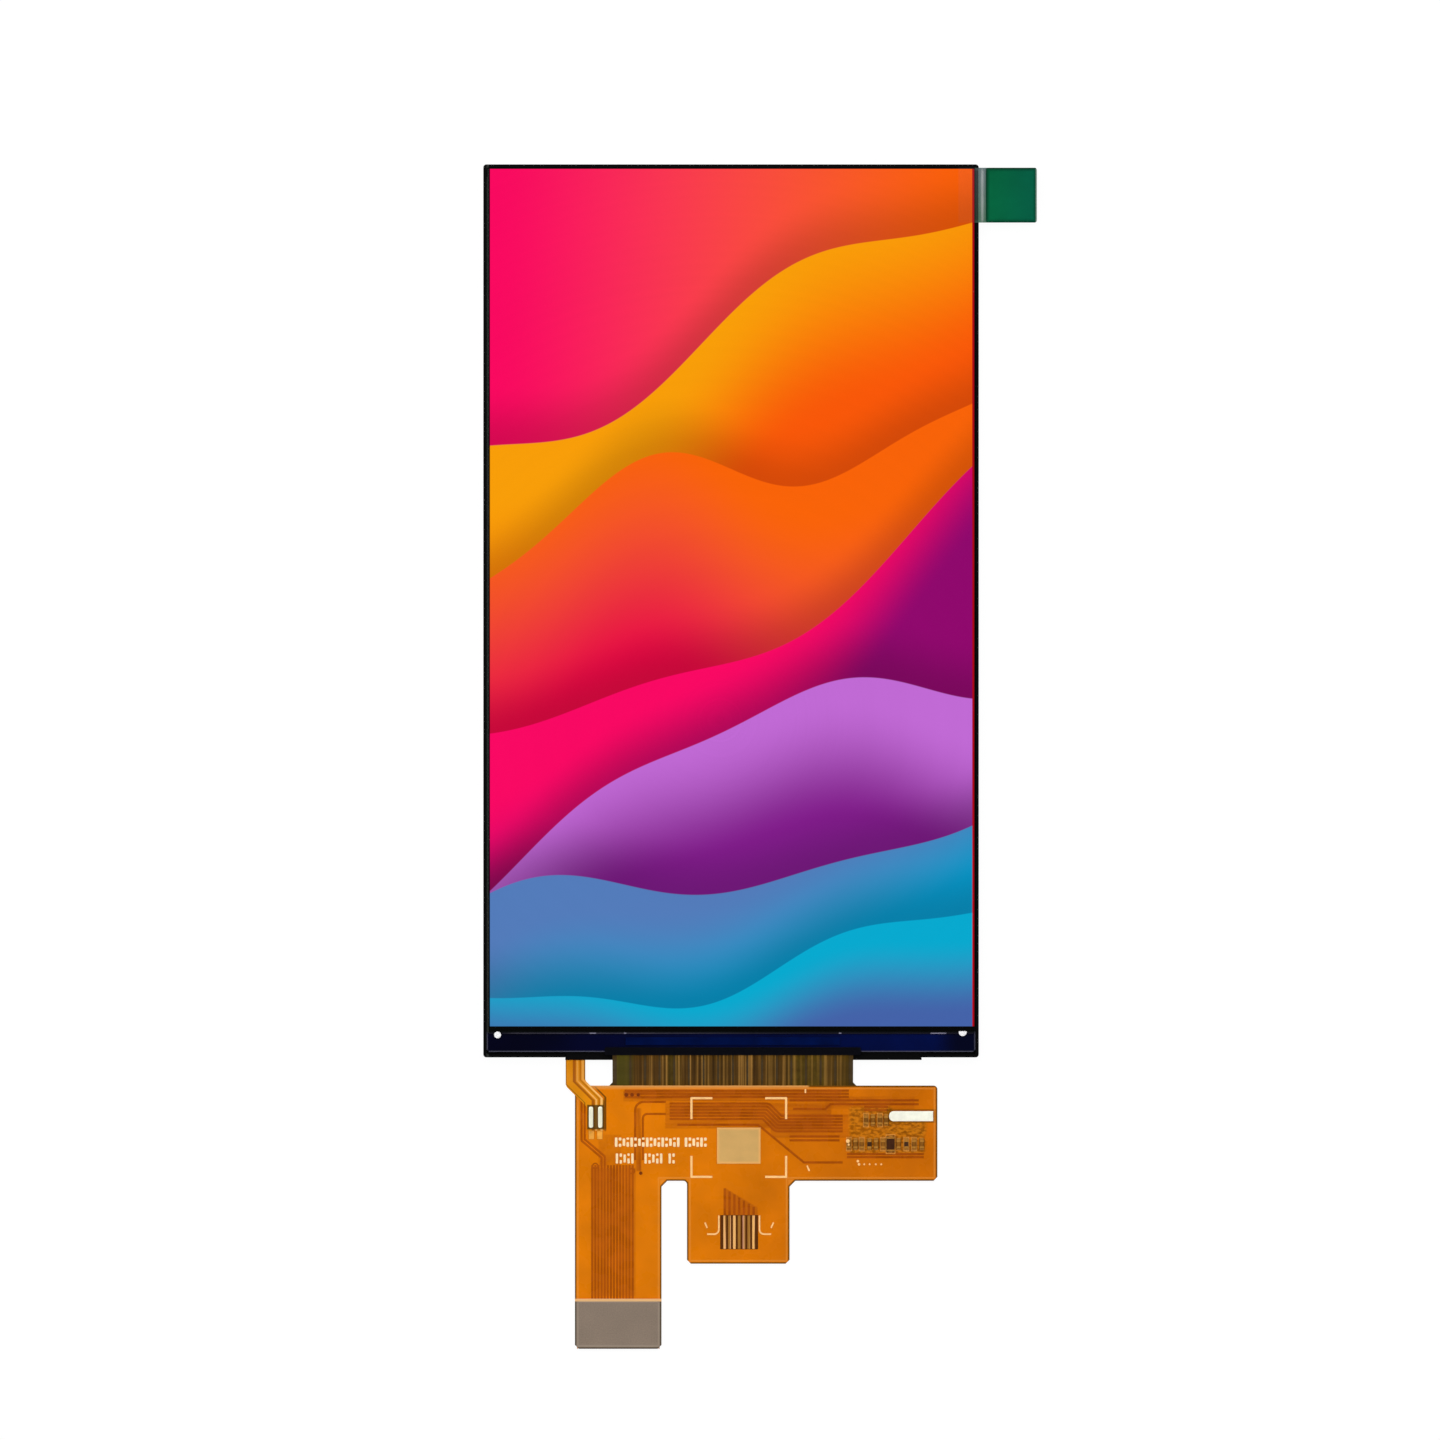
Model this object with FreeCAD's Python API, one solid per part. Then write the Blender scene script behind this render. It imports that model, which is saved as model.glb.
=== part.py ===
import FreeCAD, Part
import math
import os
from collections import namedtuple

# A 5 inch portrait liquid-crystal display module, lying on its back, its flexible circuit laid out below it.
# Millimetres. +Z is the viewing side, +Y the top of the picture. The origin is the middle of the back face.

V = FreeCAD.Vector

# Picture area of a 5 inch panel of 720 by 1280 dots
active_width = 62.1
active_length = 110.4

# Liquid-crystal cell, from the picture outwards
active_side_margin = 0.28
active_top_margin = 0.03
active_bottom_margin = 0.60
polarizer_inset = 0.12
polarizer_bottom_inset = 0.36
glass_thickness = 0.20
polarizer_thickness = 0.12
glass_corner_cut = 0.3
chip_length = 27.6
chip_width = 1.0
chip_height = 0.20
chip_setback = 0.44
bond_gap = 0.30
bond_depth = 0.58
silver_dot_height = 0.08
silver_dot_bevel = 0.05
left_dot_radius = 0.45
left_dot_inset = 1.84
left_dot_drop = 0.14
right_dot_radius = 0.55
right_dot_inset = 2.07
right_dot_rise = 0.33

# Moulded frame
frame_wall = 0.40
frame_wall_above_ledge = 0.08
corner_radius = 0.4
pocket_radius = 0.25
glass_play = 0.05
ledge_play = 0.32
flex_gap_left = 21.4
flex_gap_right = 24.6

# Steel tray folded up around the backlight, with windows for the frame's hooks
tray_thickness = 0.10
tray_drop = 0.03
tray_bend_radius = 0.18
tray_corner_relief = 0.9
window_length = 3.4
window_height = 0.26
window_top_margin = 0.14
window_end_margin = 14.0
long_side_window_count = 4
short_side_window_count = 2
hook_play = 0.05
hook_shy = 0.03

# Backlight
reflector_thickness = 0.08
guide_thickness = 0.45
guide_side_margin = 0.15
guide_top_margin = 0.06
guide_bottom_margin = 1.8
diffuser_thickness = 0.06
prism_thickness = 0.08
film_gap = 0.30
film_play = 0.05
led_count = 12
led_end_margin = 3.7
led_width = 3.0
led_depth = 0.95
led_height = 0.40
led_window_width = 2.4
led_window_height = 0.24
led_window_depth = 0.15
led_gap = 0.05
led_back_play = 0.10
led_flex_thickness = 0.12
led_bar_overlap = 0.7
led_bar_play = 0.05
tape_overhang = 0.34
rim_tape_thickness = 0.05
rim_tape_margin = 0.04

# Protective film with its pull tab
film_thickness = 0.06
film_inset = 0.05
tab_tape_thickness = 0.05
tab_tape_hold = 2.0
tab_gap = 0.91
tab_width = 6.57
tab_length = 7.06
tab_thickness = 0.08
tab_overlap = 1.2
tab_radius = 0.3

# Main flexible circuit: layers
flex_base_thickness = 0.09
copper_thickness = 0.02
coverlay_thickness = 0.03
ridge_height = 0.015
stiffener_thickness = 0.20
contact_stiffener_thickness = 0.18

# Main flexible circuit: outline
bond_left = 15.27
bond_right = 15.73
bend_flat = 0.37
body_drop = 3.66
flare = 0.42
tail_left = -20.11
tail_width = 11.15
tail_length = 21.64
notch_width = 3.29
tongue_width = 13.21
tongue_length = 10.68
wing_width = 19.05
body_depth = 12.27
corner_cut = 0.5
notch_cut = 0.75
hidden_corner_cut = 1.2
sealant_margin = 1.0
sealant_depth = 1.0
sealant_rise = 0.10
sealant_radius = 0.2

# Contacts and pads on the main flexible circuit
contact_count = 36
contact_pitch = 0.30
contact_width = 0.16
contact_length = 3.2
contact_stiffener_length = 6.45
bend_trace_count = 16
bend_trace_width = 1.62
bend_trace_edge = 0.55
pad_width = 5.6
pad_depth = 4.64
pad_x = 21.11
pad_y = 7.74
window_margin = 0.06
touch_count = 7
touch_pitch = 0.62
touch_width = 0.34
touch_length = 4.3
touch_x = 21.16
touch_y = 18.89
touch_window_side = 0.27
touch_track_width = 0.30
touch_track_length = 3.45
touch_track_step = 0.40

# Surface-mounted parts on the wing: kind and distance from its right edge, in two rows
chip_part_width = 0.50
chip_part_length = 1.0
capacitor_height = 0.35
resistor_height = 0.21
chip_cap = 0.22
chip_waist = 0.03
diode_width = 1.0
diode_length = 1.7
solder_pad_width = 0.54
solder_pad_length = 0.42
solder_pad_overlap = 0.28
solder_pad_height = 0.02
component_area = 12.6
component_inset = 0.4
upper_row_y = 4.44
lower_row_y = 7.54
upper_row = (("capacitor", 9.2), ("capacitor", 8.3), ("capacitor", 7.4), ("capacitor", 6.6))
lower_row = (
    ("capacitor", 11.4),
    ("capacitor", 10.55),
    ("capacitor", 9.75),
    ("resistor", 8.75),
    ("capacitor", 7.9),
    ("capacitor", 7.0),
    ("diode", 6.03),
    ("capacitor", 5.0),
    ("resistor", 4.0),
    ("capacitor", 3.0),
    ("capacitor", 2.0),
)

# Copper tracks on the body, measured right and down from its top left corner
track_width = 0.28
track_pitch = 0.40
top_track_count = 3
top_tracks_x = 6.4
top_tracks_y = 1.05
top_tracks_end = 1.2
riser_x = 7.75
riser_gap = 1.0
riser_foot_y = 9.6
riser_top_y = 2.1
riser_inner_top_y = 3.65
riser_end = 3.95
riser_radius = 1.1
riser_inner_radius = 0.6
main_track_count = 6
main_tracks_x = 12.2
main_tracks_y = 3.3
main_tracks_step = 1.6
main_tracks_turn = 3.05
main_tracks_end = 0.4
low_track_x = 13.2
low_track_y = 5.05
low_track_turn = 4.05
low_track_fall = 4.85
low_track_run = 5.9
wing_track_y = 1.9
wing_track_margin = 2.4
jog_track_y = 3.0
jog_track_rise = 0.6
jog_track_start = 0.45
jog_track_end = 1.8
stub_track_y = 6.55
stub_track_gap = 0.5
side_track_count = 2
side_track_x = 1.05
side_track_top = 1.9
side_track_turn_y = 7.0
side_track_fall = 2.2
side_track_offset = 3
tail_track_count = 14
tail_tracks_x = 4.83
tail_tracks_top = 10.25
ring_radius = 0.42
ring_width = 0.18
ring_x = 2.62
ring_y = 10.35
right_ring_x = 7.35
right_ring_y = 11.0
part_track_count = 2
part_track_distance = 1.28

# Backlight lead, which runs aslant onto the circuit's top left corner
lead_width = 2.52
lead_side_step = 1.19
lead_left_turn = 0.04
lead_right_turn = 0.66
lead_tongue_step = 2.43
lead_tongue_width = 2.20
lead_tongue_end = 5.79
lead_flat = 0.1
lead_land = 1.1
lead_turn_radius = 1.2
lead_corner_radius = 0.2
lead_track_width = 0.3
lead_track_turn = 0.36
joint_width = 0.67
joint_length = 2.75
joint_gap = 0.42
joint_height = 0.14
joint_corner = 0.18
joint_end_margin = 0.35
lead_pad_length = 1.1

# Printed marks
mark_height = 0.02
mark_width = 0.28
bracket_arm = 2.7
bracket_margin_x = 3.3
bracket_margin_top = 3.8
bracket_margin_bottom = 1.7
hook_mark_gap = 0.45
hook_mark_drop = 2.4
hook_mark_run = 1.5
hook_mark_width = 0.2
hook_mark_radius = 0.6
tick_run = 0.3
tick_fall = 0.7
tick_drop = 0.9
edge_mark_x = 2.05
edge_mark_y = 0.45
edge_mark_length = 0.5
low_mark_x = 2.25
low_mark_y = 10.3
block_length = 5.67
block_width = 1.29
block_edge = 0.55
block_y = 3.94
block_radius = 0.58


def unit(vector):
    """The same direction, one long."""
    return vector * (1.0 / vector.Length)


def box(x0, x1, y0, y1, z0, z1):
    """A block between two corners."""
    return Part.makeBox(x1 - x0, y1 - y0, z1 - z0, V(x0, y0, z0))


def outline(corners):
    """A closed flat wire. Each corner is x, y, its style (sharp, cut or round) and its size."""
    ends = []
    for i, (x, y, style, size) in enumerate(corners):
        point = V(x, y, 0)
        before = unit(V(*corners[i - 1][:2], 0) - point)
        after = unit(V(*corners[(i + 1) % len(corners)][:2], 0) - point)
        half_angle = before.getAngle(after) / 2
        reach = {"sharp": 0.0, "cut": size, "round": size / math.tan(half_angle)}[style]
        middle = None
        if style == "round":
            inward = unit(before + after)
            middle = point + inward * (size / math.sin(half_angle) - size)
        ends.append((point + before * reach, middle, point + after * reach))
    edges = []
    for i, (start, middle, stop) in enumerate(ends):
        if middle:
            edges.append(Part.Arc(start, middle, stop).toShape())
        elif start.distanceToPoint(stop) > 1e-6:
            edges.append(Part.makeLine(start, stop))
        next_start = ends[(i + 1) % len(ends)][0]
        if stop.distanceToPoint(next_start) > 1e-6:
            edges.append(Part.makeLine(stop, next_start))
    return Part.Wire(edges)


def prism(corners, z0, z1):
    """A flat outline raised from z0 to z1."""
    face = Part.Face(outline(corners))
    face.translate(V(0, 0, z0))
    return face.extrude(V(0, 0, z1 - z0))


def rectangle(x0, x1, y0, y1, style="sharp", size=0.0):
    """The four corners of a rectangle."""
    return [(x0, y0, style, size), (x1, y0, style, size), (x1, y1, style, size), (x0, y1, style, size)]


def side_corners(points, shift, radius):
    """The corners of a line that runs beside the points, shift to their left, with round turns."""
    directions = [unit(b - a) for a, b in zip(points, points[1:])]
    corners = []
    for i, point in enumerate(points):
        into = directions[max(i - 1, 0)]
        out = directions[min(i, len(directions) - 1)]
        side = unit(V(-into.y - out.y, into.x + out.x, 0))
        reach = shift / side.dot(V(-out.y, out.x, 0))
        turn = into.x * out.y - into.y * out.x
        size = radius - shift if turn > 0 else radius + shift
        style = "round" if abs(turn) > 1e-6 and size > 1e-3 else "sharp"
        corners.append((point.x + side.x * reach, point.y + side.y * reach, style, size))
    return corners


def ribbon(points, width, shift=0.0, radius=0.4):
    """The outline of a track of one width, shifted to the left of its points."""
    left = side_corners(points, shift + width / 2, radius)
    right = side_corners(points, shift - width / 2, radius)
    return left + right[::-1]


# A film's route in side view: level from start to drop at height high, an S of two equal arcs down to land,
# and level again to end at height low. Heights are those of its underside.
Route = namedtuple("Route", "start drop land end high low")


def route_points(route, rise):
    """Ends and middles of the stretches of a film's route, rise above its underside."""
    run = route.drop - route.land
    fall = route.high - route.low
    radius = (run**2 + fall**2) / (4 * fall)
    turn = math.asin(run / 2 / radius)
    upper = radius + rise
    lower = radius - rise
    upper_centre = V(0, route.drop, route.high - radius)
    lower_centre = V(0, route.land, route.low + radius)
    return [
        V(0, route.start, route.high + rise),
        V(0, route.drop, route.high + rise),
        upper_centre + V(0, -math.sin(turn / 2), math.cos(turn / 2)) * upper,
        upper_centre + V(0, -math.sin(turn), math.cos(turn)) * upper,
        lower_centre + V(0, math.sin(turn / 2), -math.cos(turn / 2)) * lower,
        V(0, route.land, route.low + rise),
        V(0, route.end, route.low + rise),
    ]


def route_edges(points):
    """Line, arc, arc and line through a film's route."""
    return [
        Part.makeLine(points[0], points[1]),
        Part.Arc(points[1], points[2], points[3]).toShape(),
        Part.Arc(points[3], points[4], points[5]).toShape(),
        Part.makeLine(points[5], points[6]),
    ]


def film(route, bottom, top, x0, x1):
    """A layer of film along a route, from bottom to top above the route's underside."""
    under = route_points(route, bottom)
    over = route_points(route, top)
    edges = route_edges(under) + [Part.makeLine(under[-1], over[-1])]
    edges += route_edges(over) + [Part.makeLine(over[0], under[0])]
    face = Part.Face(Part.Wire(Part.__sortEdges__(edges)))
    face.translate(V(x0, 0, 0))
    return face.extrude(V(x1 - x0, 0, 0))


def joined(shapes):
    """One shape from several that touch."""
    return shapes[0].multiFuse(shapes[1:]).removeSplitter() if len(shapes) > 1 else shapes[0]


# Plan lines of the module
active_x = active_width / 2
polarizer_x = active_x + active_side_margin
glass_x = polarizer_x + polarizer_inset
wall_x = glass_x + glass_play
half_width = wall_x + frame_wall
ledge_depth = chip_setback + chip_width + bond_gap + bond_depth
top_border = active_top_margin + polarizer_inset + glass_play + frame_wall
bottom_border = active_bottom_margin + polarizer_bottom_inset + ledge_depth + ledge_play + frame_wall
half_length = (active_length + top_border + bottom_border) / 2
wall_top = half_length - frame_wall
glass_top = wall_top - glass_play
polarizer_top = glass_top - polarizer_inset
active_top = half_length - top_border
active_bottom = active_top - active_length
polarizer_bottom = active_bottom - active_bottom_margin
cell_bottom = polarizer_bottom - polarizer_bottom_inset
tft_bottom = cell_bottom - ledge_depth
wall_bottom = tft_bottom - ledge_play
guide_x = active_x + guide_side_margin
guide_top = active_top + guide_top_margin
guide_bottom = active_bottom - guide_bottom_margin
pocket_x = guide_x + film_play
pocket_top = guide_top + film_play
led_front = guide_bottom - led_gap
led_back = led_front - led_depth
beam_inner = led_back - led_back_play
led_bar_top = guide_bottom + led_bar_overlap
led_bar_bottom = wall_bottom + led_bar_play
film_bottom = led_bar_top + film_gap

# Heights of the stack
reflector_z = tray_thickness
guide_z = reflector_z + reflector_thickness
diffuser_z = guide_z + guide_thickness
tray_height = diffuser_z - tray_drop
lower_prism_z = diffuser_z + diffuser_thickness
upper_prism_z = lower_prism_z + prism_thickness
rim_tape_z = upper_prism_z + prism_thickness
rear_polarizer_z = rim_tape_z + rim_tape_thickness
tft_z = rear_polarizer_z + polarizer_thickness
ledge_z = tft_z + glass_thickness
front_polarizer_z = ledge_z + glass_thickness
film_z = front_polarizer_z + polarizer_thickness
tab_tape_z = film_z + film_thickness
frame_top_z = ledge_z + frame_wall_above_ledge

# Plan lines and heights of the flexible circuit
bond_start = tft_bottom + bond_depth
body_top = -half_length - body_drop
body_bottom = body_top - body_depth
tail_right = tail_left + tail_width
tail_middle = (tail_left + tail_right) / 2
tail_bottom = body_bottom - tail_length
tongue_left = tail_right + notch_width
tongue_right = tongue_left + tongue_width
tongue_bottom = body_bottom - tongue_length
body_right = tongue_right + wing_width
body_z = stiffener_thickness
base_top_z = body_z + flex_base_thickness
copper_top_z = base_top_z + copper_thickness
coverlay_top_z = base_top_z + coverlay_thickness
ridge_top_z = coverlay_top_z + ridge_height
contact_stiffener_top = tail_bottom + contact_stiffener_length
flex_route = Route(bond_start, tft_bottom - bend_flat, body_top, tail_bottom, ledge_z, body_z)
lead_route = Route(
    led_bar_top,
    -half_length - tape_overhang - lead_flat,
    body_top - lead_land,
    body_top - lead_tongue_end,
    diffuser_z,
    ridge_top_z,
)


def on_body(x, y):
    """A point on the circuit's body, measured right and down from its top left corner."""
    return V(tail_left + x, body_top - y, 0)


def tray_channel(width, length):
    """A strip of sheet folded up along both of its long edges, with the sheet's bend radius."""
    half = width / 2
    inner = half - tray_thickness
    inner_radius = tray_bend_radius - tray_thickness
    corners = [
        (-half, tray_height, "sharp", 0),
        (-half, 0, "round", tray_bend_radius),
        (half, 0, "round", tray_bend_radius),
        (half, tray_height, "sharp", 0),
        (inner, tray_height, "sharp", 0),
        (inner, tray_thickness, "round", inner_radius),
        (-inner, tray_thickness, "round", inner_radius),
        (-inner, tray_height, "sharp", 0),
    ]
    channel = prism(corners, -length / 2, length / 2)
    channel.rotate(V(0, 0, 0), V(1, 0, 0), 90)
    return channel


def evenly(count, half_span, end_margin):
    """Places along a side, the same distance apart."""
    first = -half_span + end_margin
    step = -2 * first / (count - 1)
    return [first + i * step for i in range(count)]


def catches(length, z0, z1, reach, outer_x, outer_y):
    """Blocks at the snap places on all four sides, reaching out from the moulded frame's lower wall."""
    half = length / 2
    blocks = []
    for y in evenly(long_side_window_count, half_length, window_end_margin):
        blocks.append(box(outer_x, outer_x + reach, y - half, y + half, z0, z1))
        blocks.append(box(-outer_x - reach, -outer_x, y - half, y + half, z0, z1))
    for x in evenly(short_side_window_count, half_width, window_end_margin):
        blocks.append(box(x - half, x + half, outer_y, outer_y + reach, z0, z1))
        blocks.append(box(x - half, x + half, -outer_y - reach, -outer_y, z0, z1))
    return blocks


def make_back_plate():
    """Thin steel tray: a floor with four folded walls, open corners and snap windows."""
    long_way = tray_channel(2 * half_width, 2 * (half_length - tray_corner_relief))
    short_way = tray_channel(2 * half_length, 2 * (half_width - tray_corner_relief))
    short_way.rotate(V(0, 0, 0), V(0, 0, 1), 90)
    tray = joined([long_way, short_way])
    top = tray_height - window_top_margin
    cutters = catches(
        window_length,
        top - window_height,
        top,
        2 * tray_thickness,
        half_width - 1.5 * tray_thickness,
        half_length - 1.5 * tray_thickness,
    )
    return tray.cut(cutters)


def make_mid_frame():
    """Black moulded ring: a flange at the full outline, a pocket for the films, a seat for the cell."""
    lower_x = half_width - tray_thickness
    lower_y = half_length - tray_thickness
    block = rectangle(-lower_x, lower_x, -lower_y, lower_y, "round", corner_radius)
    lower = prism(block, tray_thickness, tray_height)
    foot_edges = [edge for edge in lower.Edges if edge.BoundBox.ZMax < tray_thickness + 1e-6]
    lower = lower.makeChamfer(max(tray_bend_radius - tray_thickness, 0.01), foot_edges)
    flange = rectangle(-half_width, half_width, -half_length, half_length, "round", corner_radius)
    upper = prism(flange, tray_height, frame_top_z)
    top = tray_height - window_top_margin - hook_play
    bottom = tray_height - window_top_margin - window_height + hook_play
    hook_reach = tray_thickness - hook_shy
    hooks = catches(window_length - 2 * hook_play, bottom, top, hook_reach, lower_x, lower_y)
    body = joined([lower, upper] + hooks)
    film_pocket = box(-pocket_x, pocket_x, beam_inner, pocket_top, tray_thickness, diffuser_z)
    tape_pocket = box(-pocket_x, pocket_x, wall_bottom, pocket_top, diffuser_z, rim_tape_z)
    cell_plan = rectangle(-wall_x, wall_x, wall_bottom, wall_top, "round", pocket_radius)
    cell_pocket = prism(cell_plan, rim_tape_z, frame_top_z)
    flex_gap = box(-flex_gap_left, flex_gap_right, -half_length, wall_bottom, diffuser_z, frame_top_z)
    return body.cut([film_pocket, tape_pocket, cell_pocket, flex_gap])


def make_backlight_films():
    """Reflector, light guide, diffuser and the two crossed prism films, from the back."""
    x = guide_x
    return {
        "reflector_film": box(-x, x, beam_inner + film_play, guide_top, reflector_z, guide_z),
        "light_guide_plate": box(-x, x, guide_bottom, guide_top, guide_z, diffuser_z),
        "diffuser_film": box(-x, x, film_bottom, guide_top, diffuser_z, lower_prism_z),
        "lower_prism_film": box(-x, x, film_bottom, guide_top, lower_prism_z, upper_prism_z),
        "upper_prism_film": box(-x, x, film_bottom, guide_top, upper_prism_z, rim_tape_z),
    }


def make_leds():
    """Side-firing lamps along the bottom edge of the light guide, hung from their flexible circuit."""
    lamps = {}
    bottom = diffuser_z - led_height
    middle = (bottom + diffuser_z) / 2
    for i, x in enumerate(evenly(led_count, guide_x, led_end_margin)):
        body = box(x - led_width / 2, x + led_width / 2, led_back, led_front, bottom, diffuser_z)
        window = box(
            x - led_window_width / 2,
            x + led_window_width / 2,
            led_front - led_window_depth,
            led_front,
            middle - led_window_height / 2,
            middle + led_window_height / 2,
        )
        lamps[f"led_{i + 1:02d}"] = body.cut(window)
    return lamps


def lead_outline():
    """The backlight lead from above: down beside the circuit, aslant onto it, down to its soldered tongue."""
    left = tail_left - lead_side_step
    right = left + lead_width
    left_turn = body_top - lead_left_turn
    right_turn = body_top + lead_right_turn
    tongue_right_x = right + lead_tongue_step
    tongue_left_x = tongue_right_x - lead_tongue_width
    end = body_top - lead_tongue_end
    return [
        (left, led_bar_bottom, "sharp", 0),
        (right, led_bar_bottom, "sharp", 0),
        (right, right_turn, "round", lead_turn_radius / 2),
        (tongue_right_x, right_turn - lead_tongue_step, "round", lead_turn_radius),
        (tongue_right_x, end, "cut", lead_corner_radius),
        (tongue_left_x, end, "cut", lead_corner_radius),
        (tongue_left_x, left_turn - (tongue_left_x - left), "round", lead_turn_radius / 2),
        (left, left_turn, "cut", lead_corner_radius),
    ]


def joint_places():
    """Middles of the two soldered joints on the lead's tongue."""
    corners = lead_outline()
    middle = (corners[4][0] + corners[5][0]) / 2
    y = corners[4][1] + joint_end_margin + joint_length / 2
    step = (joint_width + joint_gap) / 2
    return [(middle - step, y), (middle + step, y)]


def make_led_flex():
    """The lamps' own flexible circuit: a bar over the lamps and the lead, its two tracks standing proud."""
    bar = rectangle(-pocket_x + led_bar_play, pocket_x - led_bar_play, led_bar_bottom, led_bar_top)
    below = ridge_top_z - led_flex_thickness
    above = diffuser_z + 2 * led_flex_thickness
    plan = joined([prism(bar, below, above), prism(lead_outline(), below, above)])
    sheet = film(lead_route, 0, led_flex_thickness, -half_width, half_width)
    flex = sheet.common(plan)
    proud = film(lead_route, led_flex_thickness, led_flex_thickness + ridge_height, -half_width, half_width)
    left = tail_left - lead_side_step
    turn = body_top + lead_track_turn
    starts = (left + lead_width / 3, left + lead_width * 2 / 3)
    tracks = []
    for (x, y), start in zip(joint_places(), starts):
        top = y + joint_length / 2
        bend = turn - (x - start)
        points = [V(start, -half_length - tape_overhang, 0), V(start, turn, 0), V(x, bend, 0), V(x, top, 0)]
        tracks.append(proud.common(prism(ribbon(points, lead_track_width), below, above)))
    return joined([flex] + tracks)


def make_solder_joints():
    """Two bars of solder that hold the lead's tongue to the circuit."""
    bottom = ridge_top_z + led_flex_thickness
    top = bottom + joint_height
    bars = []
    for x, y in joint_places():
        half_x = joint_width / 2
        half_y = joint_length / 2
        plan = rectangle(x - half_x, x + half_x, y - half_y, y + half_y, "cut", joint_corner)
        bar = prism(plan, bottom, top)
        top_edges = [edge for edge in bar.Edges if edge.BoundBox.ZMin > top - 1e-6]
        bars.append(bar.makeChamfer(joint_height / 2, top_edges))
    return Part.makeCompound(bars)


def make_shade_tape():
    """Black tape over the lamps' circuit, out under the main circuit and past the module's bottom edge."""
    bottom = diffuser_z + led_flex_thickness
    x = pocket_x - led_bar_play
    strip = box(-x, x, led_bar_bottom, led_bar_top, bottom, rim_tape_z)
    overhang = box(
        -flex_gap_left + led_bar_play,
        flex_gap_right - led_bar_play,
        -half_length - tape_overhang,
        led_bar_bottom,
        bottom,
        rim_tape_z,
    )
    return joined([strip, overhang])


def make_rim_tape():
    """Black adhesive ring that holds the cell to the films and the frame around the picture."""
    x = wall_x - led_bar_play
    plan = rectangle(-x, x, led_bar_bottom, wall_top - led_bar_play, "round", pocket_radius)
    ring = prism(plan, rim_tape_z, rear_polarizer_z)
    margin = rim_tape_margin
    opening = box(
        -active_x - margin,
        active_x + margin,
        active_bottom - margin,
        active_top + margin,
        rim_tape_z,
        rear_polarizer_z,
    )
    return ring.cut(opening)


def make_cell():
    """The two glasses and their polarizers. The rear glass is longer, which leaves the bottom ledge."""
    cut = glass_corner_cut
    tft = rectangle(-glass_x, glass_x, tft_bottom, glass_top, "cut", cut)
    front = rectangle(-glass_x, glass_x, cell_bottom, glass_top, "cut", cut)
    rear_film = rectangle(-polarizer_x, polarizer_x, tft_bottom + polarizer_inset, polarizer_top, "cut", cut)
    front_film = rectangle(-polarizer_x, polarizer_x, polarizer_bottom, polarizer_top)
    return {
        "rear_polarizer": prism(rear_film, rear_polarizer_z, tft_z),
        "tft_glass": prism(tft, tft_z, ledge_z),
        "color_filter_glass": prism(front, ledge_z, front_polarizer_z),
        "front_polarizer": prism(front_film, front_polarizer_z, film_z),
    }


def make_driver_chip():
    """The long bare driver chip on the ledge."""
    middle = (bond_right - bond_left) / 2
    y = cell_bottom - chip_setback
    x = chip_length / 2
    return box(middle - x, middle + x, y - chip_width, y, ledge_z, ledge_z + chip_height)


def make_silver_dots(cell):
    """Two dabs of silver paste that join the front glass's coating to the ledge."""
    places = [
        (-half_width + left_dot_inset, cell_bottom - left_dot_drop, left_dot_radius),
        (half_width - right_dot_inset, cell_bottom + right_dot_rise, right_dot_radius),
    ]
    height = glass_thickness + silver_dot_height
    dots = []
    for x, y, radius in places:
        dab = Part.makeCylinder(radius, height, V(x, y, ledge_z))
        rim = [edge for edge in dab.Edges if edge.BoundBox.ZMin > ledge_z + height - 1e-6]
        dab = dab.makeChamfer(silver_dot_bevel, rim)
        dots.append(dab.cut([cell["color_filter_glass"], cell["front_polarizer"]]))
    return Part.makeCompound(dots)


def make_protective_film():
    """Clear film over the front, with a clear tape and a coloured tab at its top right corner."""
    x = polarizer_x - film_inset
    right_edge = half_width + tab_gap
    tab_bottom = glass_top - tab_length
    sheet = rectangle(-x, x, polarizer_bottom + film_inset, polarizer_top - film_inset)
    tape = rectangle(x - tab_tape_hold, right_edge + tab_overlap, tab_bottom, glass_top)
    tab = rectangle(right_edge, right_edge + tab_width, tab_bottom, glass_top, "round", tab_radius)
    tab_z = tab_tape_z + tab_tape_thickness
    return {
        "protective_film": prism(sheet, film_z, tab_tape_z),
        "tab_tape": prism(tape, tab_tape_z, tab_z),
        "pull_tab": prism(tab, tab_z, tab_z + tab_thickness),
    }


def body_corners():
    """The circuit's body from above, clockwise from the top left: wing, tongue, notch and tail."""
    hidden = hidden_corner_cut
    return [
        (tail_left, body_top, "cut", hidden),
        (body_right, body_top, "round", corner_cut),
        (body_right, body_bottom, "cut", corner_cut),
        (tongue_right, body_bottom, "cut", notch_cut),
        (tongue_right, tongue_bottom, "cut", corner_cut),
        (tongue_left, tongue_bottom, "cut", corner_cut),
        (tongue_left, body_bottom, "round", corner_cut),
        (tail_right, body_bottom, "cut", notch_cut),
        (tail_right, tail_bottom, "cut", corner_cut),
        (tail_left, tail_bottom, "cut", corner_cut),
    ]


def neck_corners():
    """The bonded end and the bend of the circuit from above, with small flares where it meets the body."""
    return [
        (-bond_left, bond_start, "sharp", 0),
        (bond_right, bond_start, "sharp", 0),
        (bond_right, body_top + flare, "sharp", 0),
        (bond_right + flare, body_top, "sharp", 0),
        (-bond_left - flare, body_top, "sharp", 0),
        (-bond_left, body_top + flare, "sharp", 0),
    ]


def make_main_fpc():
    """The base film: bonded to the ledge, dropping in an S to lie flat, cut to its outline."""
    sheet = film(flex_route, 0, flex_base_thickness, tail_left, body_right)
    below = body_z
    above = ledge_z + 2 * flex_base_thickness
    plan = joined([prism(neck_corners(), below, above), prism(body_corners(), below, above)])
    return sheet.common(plan)


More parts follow.
